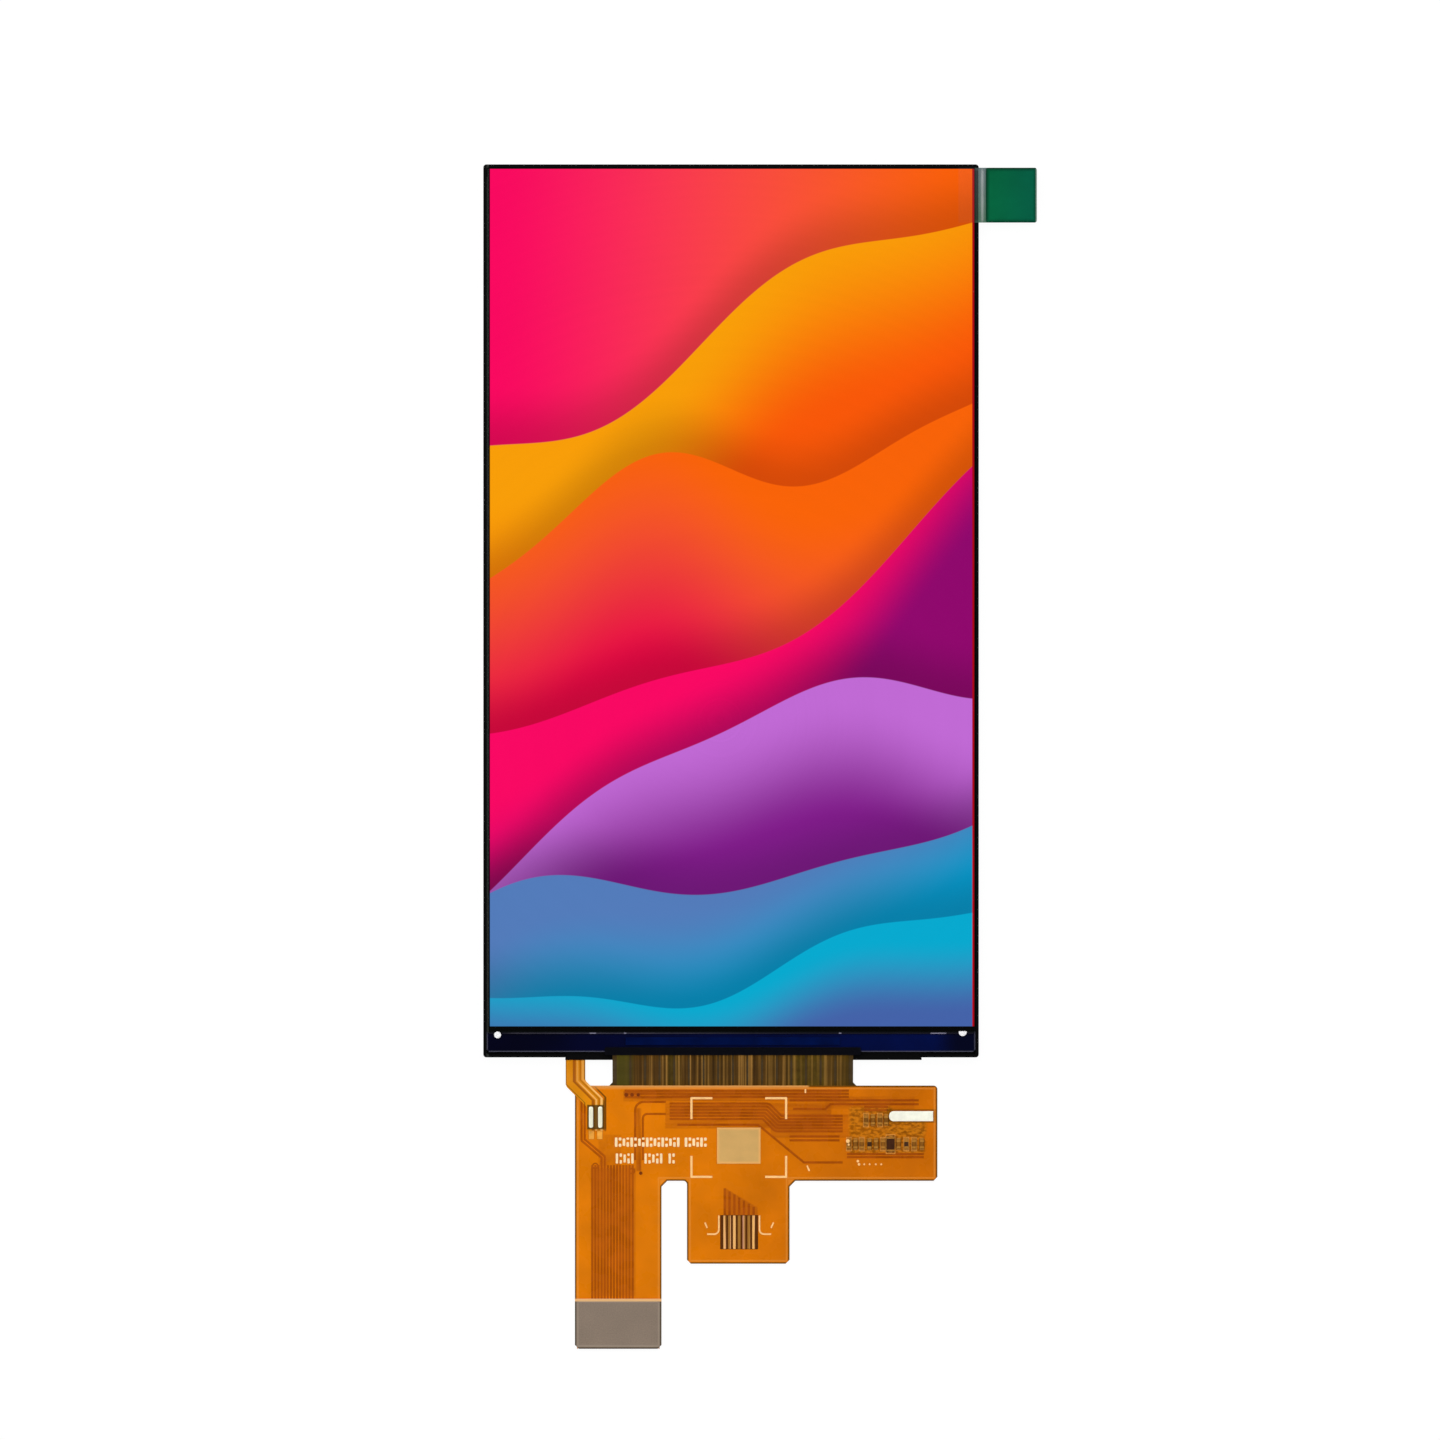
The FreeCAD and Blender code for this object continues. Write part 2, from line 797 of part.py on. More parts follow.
def make_bend_traces():
    """The bare copper tracks that cross the bend side by side."""
    copper_top = flex_base_thickness + copper_thickness
    layer = film(flex_route, flex_base_thickness, copper_top, -bond_left, bond_right)
    span = bond_left + bond_right - 2 * bend_trace_edge
    pitch = (span - bend_trace_width) / (bend_trace_count - 1)
    strips = []
    for i in range(bend_trace_count):
        x = -bond_left + bend_trace_edge + i * pitch
        strips.append(box(x, x + bend_trace_width, body_top, bond_start, body_z, 2 * ledge_z))
    return Part.makeCompound([layer.common(strip) for strip in strips])


def make_bond_sealant():
    """Black sealant over the bonded end of the circuit, out over the edge of the ledge."""
    top = ledge_z + flex_base_thickness + copper_thickness + sealant_rise
    plan = rectangle(
        -bond_left - sealant_margin,
        bond_right + sealant_margin,
        bond_start - sealant_depth,
        bond_start,
        "round",
        sealant_radius,
    )
    neck = film(flex_route, 0, flex_base_thickness + copper_thickness, -bond_left, bond_right)
    bead = prism(plan, ledge_z, top).cut(neck)
    pieces = [solid for solid in bead.Solids if solid.BoundBox.ZMax > top - 1e-6]
    return pieces[0]


def touch_place(i):
    """Middle of one of the fingers of the touch connector."""
    return on_body(touch_x + (i - (touch_count - 1) / 2) * touch_pitch, touch_y)


def straight(count, points):
    """Outlines of tracks side by side along the points, with mitred turns."""
    return [ribbon(points, track_width, (i - (count - 1) / 2) * track_pitch, 0) for i in range(count)]


def body_tracks():
    """The tracks that cross the body towards the wing and run down the tail."""
    body_width = body_right - tail_left
    wing_x = body_width - wing_width
    parts_x = body_width - component_area
    inner_x = riser_x + riser_gap
    low_y = low_track_y + low_track_fall
    jog_x = parts_x - jog_track_end
    side_x = tail_tracks_x - side_track_offset * track_pitch
    turn_x = wing_x - main_tracks_turn
    low_main_y = main_tracks_y + main_tracks_step
    high_jog_y = jog_track_y - jog_track_rise
    far_y = side_track_turn_y + side_track_fall
    riser_far = riser_x + riser_end
    tail_end = body_depth + tail_length - contact_stiffener_length
    runs = [
        (top_track_count, (top_tracks_x, top_tracks_y), (parts_x + top_tracks_end, top_tracks_y)),
        (
            main_track_count,
            (main_tracks_x, main_tracks_y),
            (turn_x, main_tracks_y),
            (turn_x + main_tracks_step, low_main_y),
            (parts_x + main_tracks_end, low_main_y),
        ),
        (
            1,
            (low_track_x, low_track_y),
            (wing_x - low_track_turn, low_track_y),
            (wing_x - low_track_turn + low_track_run, low_y),
            (parts_x + main_tracks_end, low_y),
        ),
        (1, (wing_x, wing_track_y), (body_width - wing_track_margin, wing_track_y)),
        (
            1,
            (wing_x + jog_track_start, jog_track_y),
            (jog_x, jog_track_y),
            (jog_x + jog_track_rise, high_jog_y),
            (body_width - wing_track_margin, high_jog_y),
        ),
        (1, (wing_x, stub_track_y), (parts_x, stub_track_y)),
        (1, (wing_x, stub_track_y + stub_track_gap), (parts_x, stub_track_y + stub_track_gap)),
        (
            side_track_count,
            (side_track_x, side_track_top),
            (side_track_x, side_track_turn_y),
            (side_x, far_y),
            (side_x, tail_tracks_top),
        ),
        (tail_track_count, (tail_tracks_x, tail_tracks_top), (tail_tracks_x, tail_end)),
    ]
    outlines = []
    for count, *places in runs:
        outlines += straight(count, [on_body(x, y) for x, y in places])
    outer = (riser_x, riser_top_y, riser_radius)
    inner = (inner_x, riser_inner_top_y, riser_inner_radius)
    for x, top, radius in (outer, inner):
        points = [on_body(x, riser_foot_y), on_body(x, top), on_body(riser_far, top)]
        outlines.append(ribbon(points, track_width, 0, radius))
    return outlines


def touch_tracks():
    """Tracks that rise from the touch connector's fingers, each shorter than the one on its left."""
    outlines = []
    for i in range(touch_count):
        finger = touch_place(i)
        top = finger.y + touch_length / 2 + window_margin
        reach = touch_track_length - touch_track_step * i
        outlines.append(ribbon([V(finger.x, top, 0), V(finger.x, top + reach, 0)], touch_track_width))
    return outlines


def part_tracks():
    """Supply tracks below the lower row of parts and above the upper row, as long as the row."""
    outlines = []
    body_width = body_right - tail_left
    for row, y, side in ((lower_row, lower_row_y, 1), (upper_row, upper_row_y, -1)):
        left = body_width - row[0][1] - chip_part_width / 2
        right = body_width - row[-1][1] + chip_part_width / 2
        middle = y + side * (part_track_distance + (part_track_count - 1) / 2 * track_pitch)
        outlines += straight(part_track_count, [on_body(left, middle), on_body(right, middle)])
    return outlines


def rings(z0, z1):
    """Two ring-shaped ends of tracks at the top of the tail."""
    bands = []
    for x, y in ((ring_x, ring_y), (right_ring_x, right_ring_y)):
        middle = on_body(x, y) + V(0, 0, z0)
        outer = Part.makeCylinder(ring_radius, z1 - z0, middle)
        bands.append(outer.cut(Part.makeCylinder(ring_radius - ring_width, z1 - z0, middle)))
    return bands


def part_places():
    """Kinds and middles of the surface-mounted parts on the wing."""
    places = [(kind, body_right - x, body_top - lower_row_y) for kind, x in lower_row]
    return places + [(kind, body_right - x, body_top - upper_row_y) for kind, x in upper_row]


def part_size(kind):
    """Width, length and height of a surface-mounted part."""
    if kind == "diode":
        return diode_width, diode_length, capacitor_height
    height = resistor_height if kind == "resistor" else capacitor_height
    return chip_part_width, chip_part_length, height


def make_surface_parts():
    """Chip capacitors and resistors with wrapped end caps, and one dark diode, each long way up the page."""
    bottom = base_top_z + solder_pad_height
    counts = {}
    parts = {}
    for kind, x, y in part_places():
        width, length, height = part_size(kind)
        counts[kind] = counts.get(kind, 0) + 1
        half_x = width / 2
        half_y = length / 2
        top = bottom + height
        core_x = half_x - chip_waist
        pieces = [box(x - core_x, x + core_x, y - half_y, y + half_y, bottom, top - chip_waist)]
        for edge_y in (y - half_y, y + half_y - chip_cap):
            pieces.append(box(x - half_x, x + half_x, edge_y, edge_y + chip_cap, bottom, top))
        parts[f"{kind}_{counts[kind]:02d}"] = joined(pieces)
    return parts


def solder_pads():
    """Plans of all tinned pads (x0, x1, y0, y1): two under each part and two below the lead's tongue."""
    pads = []
    for kind, x, y in part_places():
        width, length, _ = part_size(kind)
        half = max(width, solder_pad_width) / 2
        inner = length / 2 - solder_pad_overlap
        outer = inner + solder_pad_length
        pads.append((x - half, x + half, y + inner, y + outer))
        pads.append((x - half, x + half, y - outer, y - inner))
    lead_end = body_top - lead_tongue_end
    for x, _ in joint_places():
        pads.append((x - joint_width / 2, x + joint_width / 2, lead_end - lead_pad_length, lead_end))
    return pads


def make_solder_pads():
    """Thin tinned pads in their openings in the coverlay."""
    top = base_top_z + solder_pad_height
    return Part.makeCompound([box(*pad, base_top_z, top) for pad in solder_pads()])


def ground_pad_box(grow, z0, z1):
    """The large square pad, or the opening around it."""
    middle = on_body(pad_x, pad_y)
    x = pad_width / 2 + grow
    y = pad_depth / 2 + grow
    return box(middle.x - x, middle.x + x, middle.y - y, middle.y + y, z0, z1)


def touch_window(z0, z1):
    """The opening over the fingers of the touch connector."""
    middle = on_body(touch_x, touch_y)
    x = touch_count * touch_pitch / 2 + touch_window_side
    y = touch_length / 2 + window_margin
    return box(middle.x - x, middle.x + x, middle.y - y, middle.y + y, z0, z1)


def coverlay_openings():
    """All openings in the coverlay: around each pad, and under the body of each part."""
    z0 = base_top_z
    z1 = ridge_top_z + mark_height
    margin = window_margin
    openings = [ground_pad_box(margin, z0, z1), touch_window(z0, z1)]
    for x0, x1, y0, y1 in solder_pads():
        openings.append(box(x0 - margin, x1 + margin, y0 - margin, y1 + margin, z0, z1))
    for kind, x, y in part_places():
        width, length, _ = part_size(kind)
        half_x = width / 2 + margin
        openings.append(box(x - half_x, x + half_x, y - length / 2, y + length / 2, z0, z1))
    return openings


def make_laminate(openings):
    """Copper tracks on the base film, and the coverlay that lies over them with a ridge above each."""
    outlines = body_tracks() + touch_tracks() + part_tracks()
    cutter = joined(openings)
    tracks = [prism(track, base_top_z, copper_top_z) for track in outlines]
    tracks += rings(base_top_z, copper_top_z)
    ridges = [prism(track, copper_top_z, ridge_top_z) for track in outlines]
    ridges += rings(copper_top_z, ridge_top_z)
    copper = joined(tracks).cut(cutter)
    sheet = prism(body_corners(), base_top_z, coverlay_top_z)
    coverlay = joined([sheet.cut(copper)] + ridges).cut(cutter)
    return copper, coverlay


def make_tail_contacts():
    """Gilded fingers on the back of the tail, for a connector."""
    fingers = []
    for i in range(contact_count):
        x = tail_middle + (i - (contact_count - 1) / 2) * contact_pitch
        half = contact_width / 2
        top = tail_bottom + contact_length
        fingers.append(box(x - half, x + half, tail_bottom, top, body_z - copper_thickness, body_z))
    return Part.makeCompound(fingers)


def make_contact_stiffener():
    """Grey stiffener on the front of the tail, behind the contacts."""
    plan = [
        (tail_left, contact_stiffener_top, "sharp", 0),
        (tail_right, contact_stiffener_top, "sharp", 0),
        (tail_right, tail_bottom, "cut", corner_cut),
        (tail_left, tail_bottom, "cut", corner_cut),
    ]
    return prism(plan, coverlay_top_z, coverlay_top_z + contact_stiffener_thickness)


def make_component_stiffener():
    """Stiffener on the back of the wing, under the surface-mounted parts."""
    left = body_right - component_area
    right = body_right - component_inset
    bottom = body_bottom + component_inset
    top = body_top - component_inset
    return prism(rectangle(left, right, bottom, top, "cut", corner_cut), 0, body_z)


def make_touch_pads():
    """Fingers of the touch connector on the tongue."""
    fingers = []
    for i in range(touch_count):
        left, bottom, _ = touch_place(i) - V(touch_width / 2, touch_length / 2, 0)
        right, top, _ = touch_place(i) + V(touch_width / 2, touch_length / 2, 0)
        fingers.append(box(left, right, bottom, top, base_top_z, coverlay_top_z))
    return Part.makeCompound(fingers)


def bracket(x, y, right, down):
    """One printed corner bracket with its corner at x, y. right and down are 1 or -1."""
    points = [V(x + right * bracket_arm, y, 0), V(x, y, 0), V(x, y - down * bracket_arm, 0)]
    return ribbon(points, mark_width, 0, 0)


def bracket_marks():
    """Four brackets around the square pad."""
    middle = on_body(pad_x, pad_y)
    left = middle.x - pad_width / 2 - bracket_margin_x
    right = middle.x + pad_width / 2 + bracket_margin_x
    top = middle.y + pad_depth / 2 + bracket_margin_top
    bottom = middle.y - pad_depth / 2 - bracket_margin_bottom
    return [
        bracket(left, top, 1, 1),
        bracket(right, top, -1, 1),
        bracket(left, bottom, 1, -1),
        bracket(right, bottom, -1, -1),
    ]


def finger_marks():
    """A round hook and a slanting tick on each side of the touch connector."""
    middle = on_body(touch_x, touch_y)
    top = middle.y + touch_length / 2
    low = top - hook_mark_drop
    outlines = []
    for side in (-1, 1):
        x = middle.x + side * (touch_count * touch_pitch / 2 + hook_mark_gap)
        far = x + side * hook_mark_run
        points = [V(x, top, 0), V(x, low, 0), V(far, low, 0)]
        outlines.append(ribbon(points, hook_mark_width, 0, hook_mark_radius))
        tick = V(far + side * tick_run, top - tick_drop, 0)
        outlines.append(ribbon([tick, tick + V(-side * tick_run, -tick_fall, 0)], hook_mark_width))
    return outlines


def wing_marks():
    """A dash at the wing's top edge, a slanting one near its bottom edge and the block at its right edge."""
    wing_x = tongue_right - tail_left
    dash = on_body(wing_x + edge_mark_x, edge_mark_y)
    low = on_body(wing_x + low_mark_x, low_mark_y)
    block_right = body_right - block_edge
    block_left = block_right - block_length
    block_top = body_top - block_y + block_width / 2
    block_bottom = block_top - block_width
    return [
        ribbon([dash, dash + V(0, -edge_mark_length, 0)], hook_mark_width),
        ribbon([low, low + V(tick_run, -tick_fall, 0)], hook_mark_width),
        [
            (block_left, block_bottom, "round", block_radius),
            (block_right, block_bottom, "sharp", 0),
            (block_right, block_top, "sharp", 0),
            (block_left, block_top, "round", block_radius),
        ],
    ]


def make_printed_marks(coverlay):
    """Cream print on the coverlay, cut to the ridges that it lies over."""
    outlines = bracket_marks() + finger_marks() + wing_marks()
    top = ridge_top_z + mark_height
    marks = [prism(corners, coverlay_top_z, top).cut(coverlay) for corners in outlines]
    return Part.makeCompound([solid for mark in marks for solid in mark.Solids])


def make_all():
    """Every sub-part by its name."""
    cell = make_cell()
    copper, coverlay = make_laminate(coverlay_openings())
    parts = {
        "back_plate": make_back_plate(),
        "mid_frame": make_mid_frame(),
        "rim_tape": make_rim_tape(),
        "led_flex": make_led_flex(),
        "shade_tape": make_shade_tape(),
        "driver_chip": make_driver_chip(),
        "silver_dots": make_silver_dots(cell),
        "bond_sealant": make_bond_sealant(),
        "main_fpc": make_main_fpc(),
        "front_coverlay": coverlay,
        "copper_traces": copper,
        "bend_traces": make_bend_traces(),
        "tail_contacts": make_tail_contacts(),
        "contact_stiffener": make_contact_stiffener(),
        "component_stiffener": make_component_stiffener(),
        "ground_pad": ground_pad_box(0.0, base_top_z, coverlay_top_z),
        "touch_pads": make_touch_pads(),
        "solder_pads": make_solder_pads(),
        "solder_joints": make_solder_joints(),
        "printed_marks": make_printed_marks(coverlay),
    }
    for group in (make_backlight_films(), make_leds(), cell, make_surface_parts(), make_protective_film()):
        parts.update(group)
    return parts


os.makedirs("parts", exist_ok=True)
for name, shape in make_all().items():
    shape.exportStep(f"parts/{name}.step")
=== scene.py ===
# %% [markdown]
# # A 5 inch display module on a white table
#
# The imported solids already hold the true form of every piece: the steel tray, the black frame, the glass cell
# and the amber flexible circuit. This lesson gives each of them its finish, and models the few soft drops of
# solder and paste that a solid can't show well. Nothing from the solids is moved.

import math

import bpy
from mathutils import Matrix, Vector


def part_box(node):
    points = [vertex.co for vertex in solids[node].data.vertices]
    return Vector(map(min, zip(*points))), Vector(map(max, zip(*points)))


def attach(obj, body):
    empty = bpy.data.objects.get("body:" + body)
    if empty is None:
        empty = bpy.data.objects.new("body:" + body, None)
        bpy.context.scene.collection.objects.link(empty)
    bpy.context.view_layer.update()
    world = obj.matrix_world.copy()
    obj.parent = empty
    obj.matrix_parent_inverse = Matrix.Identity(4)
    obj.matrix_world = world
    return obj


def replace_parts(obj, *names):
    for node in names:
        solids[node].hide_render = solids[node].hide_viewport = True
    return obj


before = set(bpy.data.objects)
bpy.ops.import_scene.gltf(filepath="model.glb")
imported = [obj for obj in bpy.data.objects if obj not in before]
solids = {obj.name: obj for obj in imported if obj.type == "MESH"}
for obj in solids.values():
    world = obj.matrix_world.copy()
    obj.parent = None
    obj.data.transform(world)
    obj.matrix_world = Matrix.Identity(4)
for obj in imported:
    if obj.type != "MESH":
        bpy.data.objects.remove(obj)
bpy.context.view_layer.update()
MM = 0.001

# %% [markdown]
# The module was photographed from straight above, from so far away that no side wall shows. A long lens does
# the same: the camera hangs 1.5 m up, and its lens is worked out from the width of table that the photograph
# takes in. The picture is square, and the module sits a little right of and above its middle.

# %% Camera
PHOTO_WIDTH = 185.6 * MM
PHOTO_MIDDLE = (-1.42 * MM, -14.05 * MM)
CAMERA_HEIGHT = 1.5
SENSOR_WIDTH = 36.0

camera_data = bpy.data.cameras.new("camera")
camera_data.sensor_width = SENSOR_WIDTH
camera_data.lens = SENSOR_WIDTH * CAMERA_HEIGHT / PHOTO_WIDTH
camera = bpy.data.objects.new("camera", camera_data)
camera.location = (*PHOTO_MIDDLE, CAMERA_HEIGHT)
bpy.context.scene.collection.objects.link(camera)
bpy.context.scene.camera = camera
print("lens", round(camera_data.lens, 1), "mm")

# %% [markdown]
# ## Small helpers for shader trees
#
# Every finish below is a tree of nodes. Written out, each node takes three or four lines, which would bury
# the idea of the finish. These helpers add a node, set its values or link its inputs, and hand back its
# output.

# %% Helpers for nodes
def add_node(tree, kind, inputs=None, **settings):
    """One node with its settings. Each input is linked if it is a socket, or else given its value."""
    made = tree.nodes.new(kind)
    for name, value in settings.items():
        setattr(made, name, value)
    for name, value in (inputs or {}).items():
        if isinstance(value, bpy.types.NodeSocket):
            tree.links.new(value, made.inputs[name])
        else:
            made.inputs[name].default_value = value
    return made


def calc(tree, operation, *values):
    """The result of one Math node."""
    return add_node(tree, "ShaderNodeMath", dict(enumerate(values)), operation=operation).outputs[0]


def largest(tree, first, *others):
    """The largest of several values."""
    for other in others:
        first = calc(tree, "MAXIMUM", first, other)
    return first


def colour(red, green, blue):
    """A colour with the full alpha that sockets expect. The numbers are linear light, not screen values."""
    return (red, green, blue, 1.0)


def blend(tree, factor, first, second, share=1.0):
    """From the first colour to the second, by a factor from 0 to 1, of which only that share counts."""
    if share != 1.0:
        factor = calc(tree, "MULTIPLY", factor, share)
    return add_node(tree, "ShaderNodeMix", {0: factor, 6: first, 7: second}, data_type="RGBA").outputs[2]


def step(tree, low, high, value):
    """0 below low, 1 above high, and a soft step from one to the other."""
    inputs = {"Value": value, "From Min": low, "From Max": high}
    return add_node(tree, "ShaderNodeMapRange", inputs, interpolation_type="SMOOTHSTEP").outputs["Result"]


def scaled_to(tree, low, high, value):
    """A value from 0 to 1 spread out to run from low to high."""
    inputs = {"Value": value, "To Min": low, "To Max": high}
    return add_node(tree, "ShaderNodeMapRange", inputs).outputs["Result"]


def scaled_by(tree, vector, factor):
    """A vector or a colour times one number."""
    return add_node(tree, "ShaderNodeVectorMath", {0: vector, "Scale": factor}, operation="SCALE").outputs[0]


def axes(tree, vector):
    """The x, y and z of a vector."""
    return add_node(tree, "ShaderNodeSeparateXYZ", {"Vector": vector}).outputs


def place(tree):
    """Where the shaded point is on the module, in millimetres: the vector and its x, y and z."""
    spot = scaled_by(tree, add_node(tree, "ShaderNodeTexCoord").outputs["Object"], 1 / MM)
    return (spot, *axes(tree, spot))


def noise(tree, spot, scale, detail=2.0):
    """Soft noise from 0 to 1, with about that many patches per millimetre."""
    inputs = {"Vector": spot, "Scale": scale, "Detail": detail}
    return add_node(tree, "ShaderNodeTexNoise", inputs).outputs["Fac"]


def squeezed(tree, spot, x, y, z):
    """The place scaled along each axis, for grain and stripes."""
    return add_node(tree, "ShaderNodeMapping", {"Vector": spot, "Scale": (x, y, z)}).outputs["Vector"]


def bump(tree, height, depth):
    """A normal that tilts as if a height from 0 to 1 were that many millimetres deep."""
    return add_node(tree, "ShaderNodeBump", {"Height": height, "Distance": depth * MM}).outputs["Normal"]


print("helpers ready")

# %% [markdown]
# Some effects come back in many finishes, so each is a node group, built once. `strip` is 1 between two
# values and 0 outside them: it marks out a band of a surface by its place. `mottle` shifts a colour a little
# darker and lighter in soft patches, because no real film or plate has one flat colour. `skin` is the faint
# unevenness of a moulded or coated surface, as a normal.

# %% Node groups that many finishes share
def new_group(name, inputs, outputs):
    """An empty node group. Its inputs are (name, kind, value), its outputs (name, kind)."""
    tree = bpy.data.node_groups.new(name, "ShaderNodeTree")
    for label, kind, value in inputs:
        socket = tree.interface.new_socket(label, in_out="INPUT", socket_type="NodeSocket" + kind)
        socket.default_value = value
    for label, kind in outputs:
        tree.interface.new_socket(label, in_out="OUTPUT", socket_type="NodeSocket" + kind)
    return tree, tree.nodes.new("NodeGroupInput").outputs, tree.nodes.new("NodeGroupOutput").inputs


def use(tree, group, **inputs):
    """The first output of a group placed in a tree. Underscores stand for spaces in input names."""
    named = {name.replace("_", " "): value for name, value in inputs.items()}
    return add_node(tree, "ShaderNodeGroup", named, node_tree=group).outputs[0]


def make_strip():
    """1 between Low and High, with edges Soft wide."""
    inputs = [("Value", "Float", 0.0), ("Low", "Float", 0.0), ("High", "Float", 1.0), ("Soft", "Float", 0.02)]
    tree, given, result = new_group("strip", inputs, [("Mask", "Float")])
    low_end = calc(tree, "ADD", given["Low"], given["Soft"])
    high_end = calc(tree, "ADD", given["High"], given["Soft"])
    rise = step(tree, given["Low"], low_end, given["Value"])
    fall = step(tree, given["High"], high_end, given["Value"])
    tree.links.new(calc(tree, "SUBTRACT", rise, fall), result["Mask"])
    return tree


def make_mottle():
    """A colour made up to Amount darker and lighter in soft patches."""
    inputs = [
        ("Place", "Vector", (0, 0, 0)),
        ("Color", "Color", colour(1, 1, 1)),
        ("Scale", "Float", 0.3),
        ("Amount", "Float", 0.1),
    ]
    tree, given, result = new_group("mottle", inputs, [("Color", "Color")])
    patches = noise(tree, given["Place"], given["Scale"], 3.0)
    swing = calc(tree, "MULTIPLY", calc(tree, "SUBTRACT", patches, 0.5), given["Amount"])
    level = calc(tree, "MULTIPLY_ADD", swing, 4.0, 1.0)
    tree.links.new(scaled_by(tree, given["Color"], level), result["Color"])
    return tree


def make_skin():
    """The normal of a faintly uneven surface. Depth is in millimetres."""
    inputs = [("Place", "Vector", (0, 0, 0)), ("Scale", "Float", 4.0), ("Depth", "Float", 0.004)]
    tree, given, result = new_group("skin", inputs, [("Normal", "Vector")])
    height = noise(tree, given["Place"], given["Scale"], 3.0)
    depth = calc(tree, "MULTIPLY", given["Depth"], MM)
    normal = add_node(tree, "ShaderNodeBump", {"Height": height, "Distance": depth}).outputs["Normal"]
    tree.links.new(normal, result["Normal"])
    return tree


strip = make_strip()
mottle = make_mottle()
skin = make_skin()


def band(tree, value, low, high, soft=0.02):
    """1 where a value lies between low and high."""
    return use(tree, strip, Value=value, Low=low, High=high, Soft=soft)


def mottled(tree, spot, tone, scale, amount):
    """A colour in soft patches."""
    return use(tree, mottle, Place=spot, Color=tone, Scale=scale, Amount=amount)


print("groups:", [group.name for group in bpy.data.node_groups])

# %% [markdown]
# A finish is a material with one Principled BSDF. Plain values go straight on its sockets, because that is
# what other programs read when the model is exported. Only what changes over the surface comes through nodes.
# Many finishes are no more than one colour in patches and an uneven skin, so one function makes all of those.

# %% Helpers for finishes
def new_finish(name, base, roughness, shine=0.5, **plain):
    """A material with plain values on its shader. Returns the material, its tree and the shader's inputs."""
    made = bpy.data.materials.new(name)
    made.use_nodes = True
    sockets = made.node_tree.nodes["Principled BSDF"].inputs
    sockets["Base Color"].default_value = base
    sockets["Roughness"].default_value = roughness
    sockets["Specular IOR Level"].default_value = shine
    for label, value in plain.items():
        sockets[label.replace("_", " ")].default_value = value
    return made, made.node_tree, sockets


def add_skin(tree, sockets, spot, scale, depth):
    """Makes the surface faintly uneven, by that many millimetres."""
    tree.links.new(use(tree, skin, Place=spot, Scale=scale, Depth=depth), sockets["Normal"])


def simple_finish(name, tone, roughness, patches=None, uneven=None, **plain):
    """One colour, in patches of (scale, amount) and with a skin of (scale, depth) where these are given."""
    made, tree, sockets = new_finish(name, tone, roughness, **plain)
    spot = place(tree)[0]
    if patches:
        tree.links.new(mottled(tree, spot, tone, *patches), sockets["Base Color"])
    if uneven:
        add_skin(tree, sockets, spot, *uneven)
    return made


def coat_solids(material, *names):
    """Gives a finish to solids from the frame."""
    for name in names:
        solids[name].data.materials.clear()
        solids[name].data.materials.append(material)


def named_like(*starts):
    """The names of all solids that start with one of these words and a number."""
    return [name for name in sorted(solids) if name[:-3] in starts]


def box_mm(name):
    """The lowest and highest corners of a solid, in millimetres."""
    low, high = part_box(name)
    return low / MM, high / MM


def size_mm(name):
    """The size of a solid, in millimetres, for a print."""
    low, high = box_mm(name)
    return [round(value, 2) for value in high - low]


print("chips on the circuit:", len(named_like("capacitor", "resistor", "diode")))

# %% [markdown]
# ## The picture
#
# The lit picture is the largest thing in view. It is a plain design of soft waves, one behind the other, in
# warm colours above and cool ones below. An image file could hold it, but a formula stays sharp at any
# distance: each wave's crest is a sum of two sines, and its colour runs from a crest colour down to a deeper
# one. The wave casts a soft shade on the one behind it.

# %% The wave group
CREST_EDGE = 0.08
SHADE_REACH = 8.0
SHADE_DEPTH = 0.30
RIPPLE_RATIO = 2.3
RIPPLE_SIZE = 0.3


def make_wave():
    """One wave of the picture, laid over the colours behind it. Lengths are in millimetres."""
    inputs = [
        ("Place", "Vector", (0, 0, 0)),
        ("Behind", "Color", colour(1, 1, 1)),
        ("Crest", "Color", colour(1, 1, 1)),
        ("Deep", "Color", colour(0, 0, 0)),
        ("Level", "Float", 0.0),
        ("Tilt", "Float", 0.0),
        ("Swing", "Float", 5.0),
        ("Length", "Float", 80.0),
        ("Phase", "Float", 0.0),
        ("Fade", "Float", 20.0),
        ("Lean", "Float", 0.0),
    ]
    tree, given, result = new_group("wave", inputs, [("Color", "Color")])
    x, y, _ = axes(tree, given["Place"])
    turns = calc(tree, "DIVIDE", calc(tree, "MULTIPLY", x, 2 * math.pi), given["Length"])
    angle = calc(tree, "ADD", turns, given["Phase"])
    ripple = calc(tree, "SINE", calc(tree, "MULTIPLY_ADD", angle, RIPPLE_RATIO, given["Phase"]))
    shape = calc(tree, "MULTIPLY_ADD", ripple, RIPPLE_SIZE, calc(tree, "SINE", angle))
    slope = calc(tree, "MULTIPLY_ADD", x, given["Tilt"], given["Level"])
    crest_line = calc(tree, "MULTIPLY_ADD", shape, given["Swing"], slope)
    depth = calc(tree, "SUBTRACT", crest_line, y)
    leaning = calc(tree, "MULTIPLY_ADD", x, given["Lean"], depth)
    own = blend(tree, step(tree, 0.0, given["Fade"], leaning), given["Crest"], given["Deep"])
    near = step(tree, -SHADE_REACH, 0.0, depth)
    light_left = calc(tree, "MULTIPLY_ADD", near, -SHADE_DEPTH, 1.0)
    behind = scaled_by(tree, given["Behind"], light_left)
    over = step(tree, -CREST_EDGE, CREST_EDGE, depth)
    tree.links.new(blend(tree, over, behind, own), result["Color"])
    return tree


wave = make_wave()
print("wave group has", len(wave.nodes), "nodes")

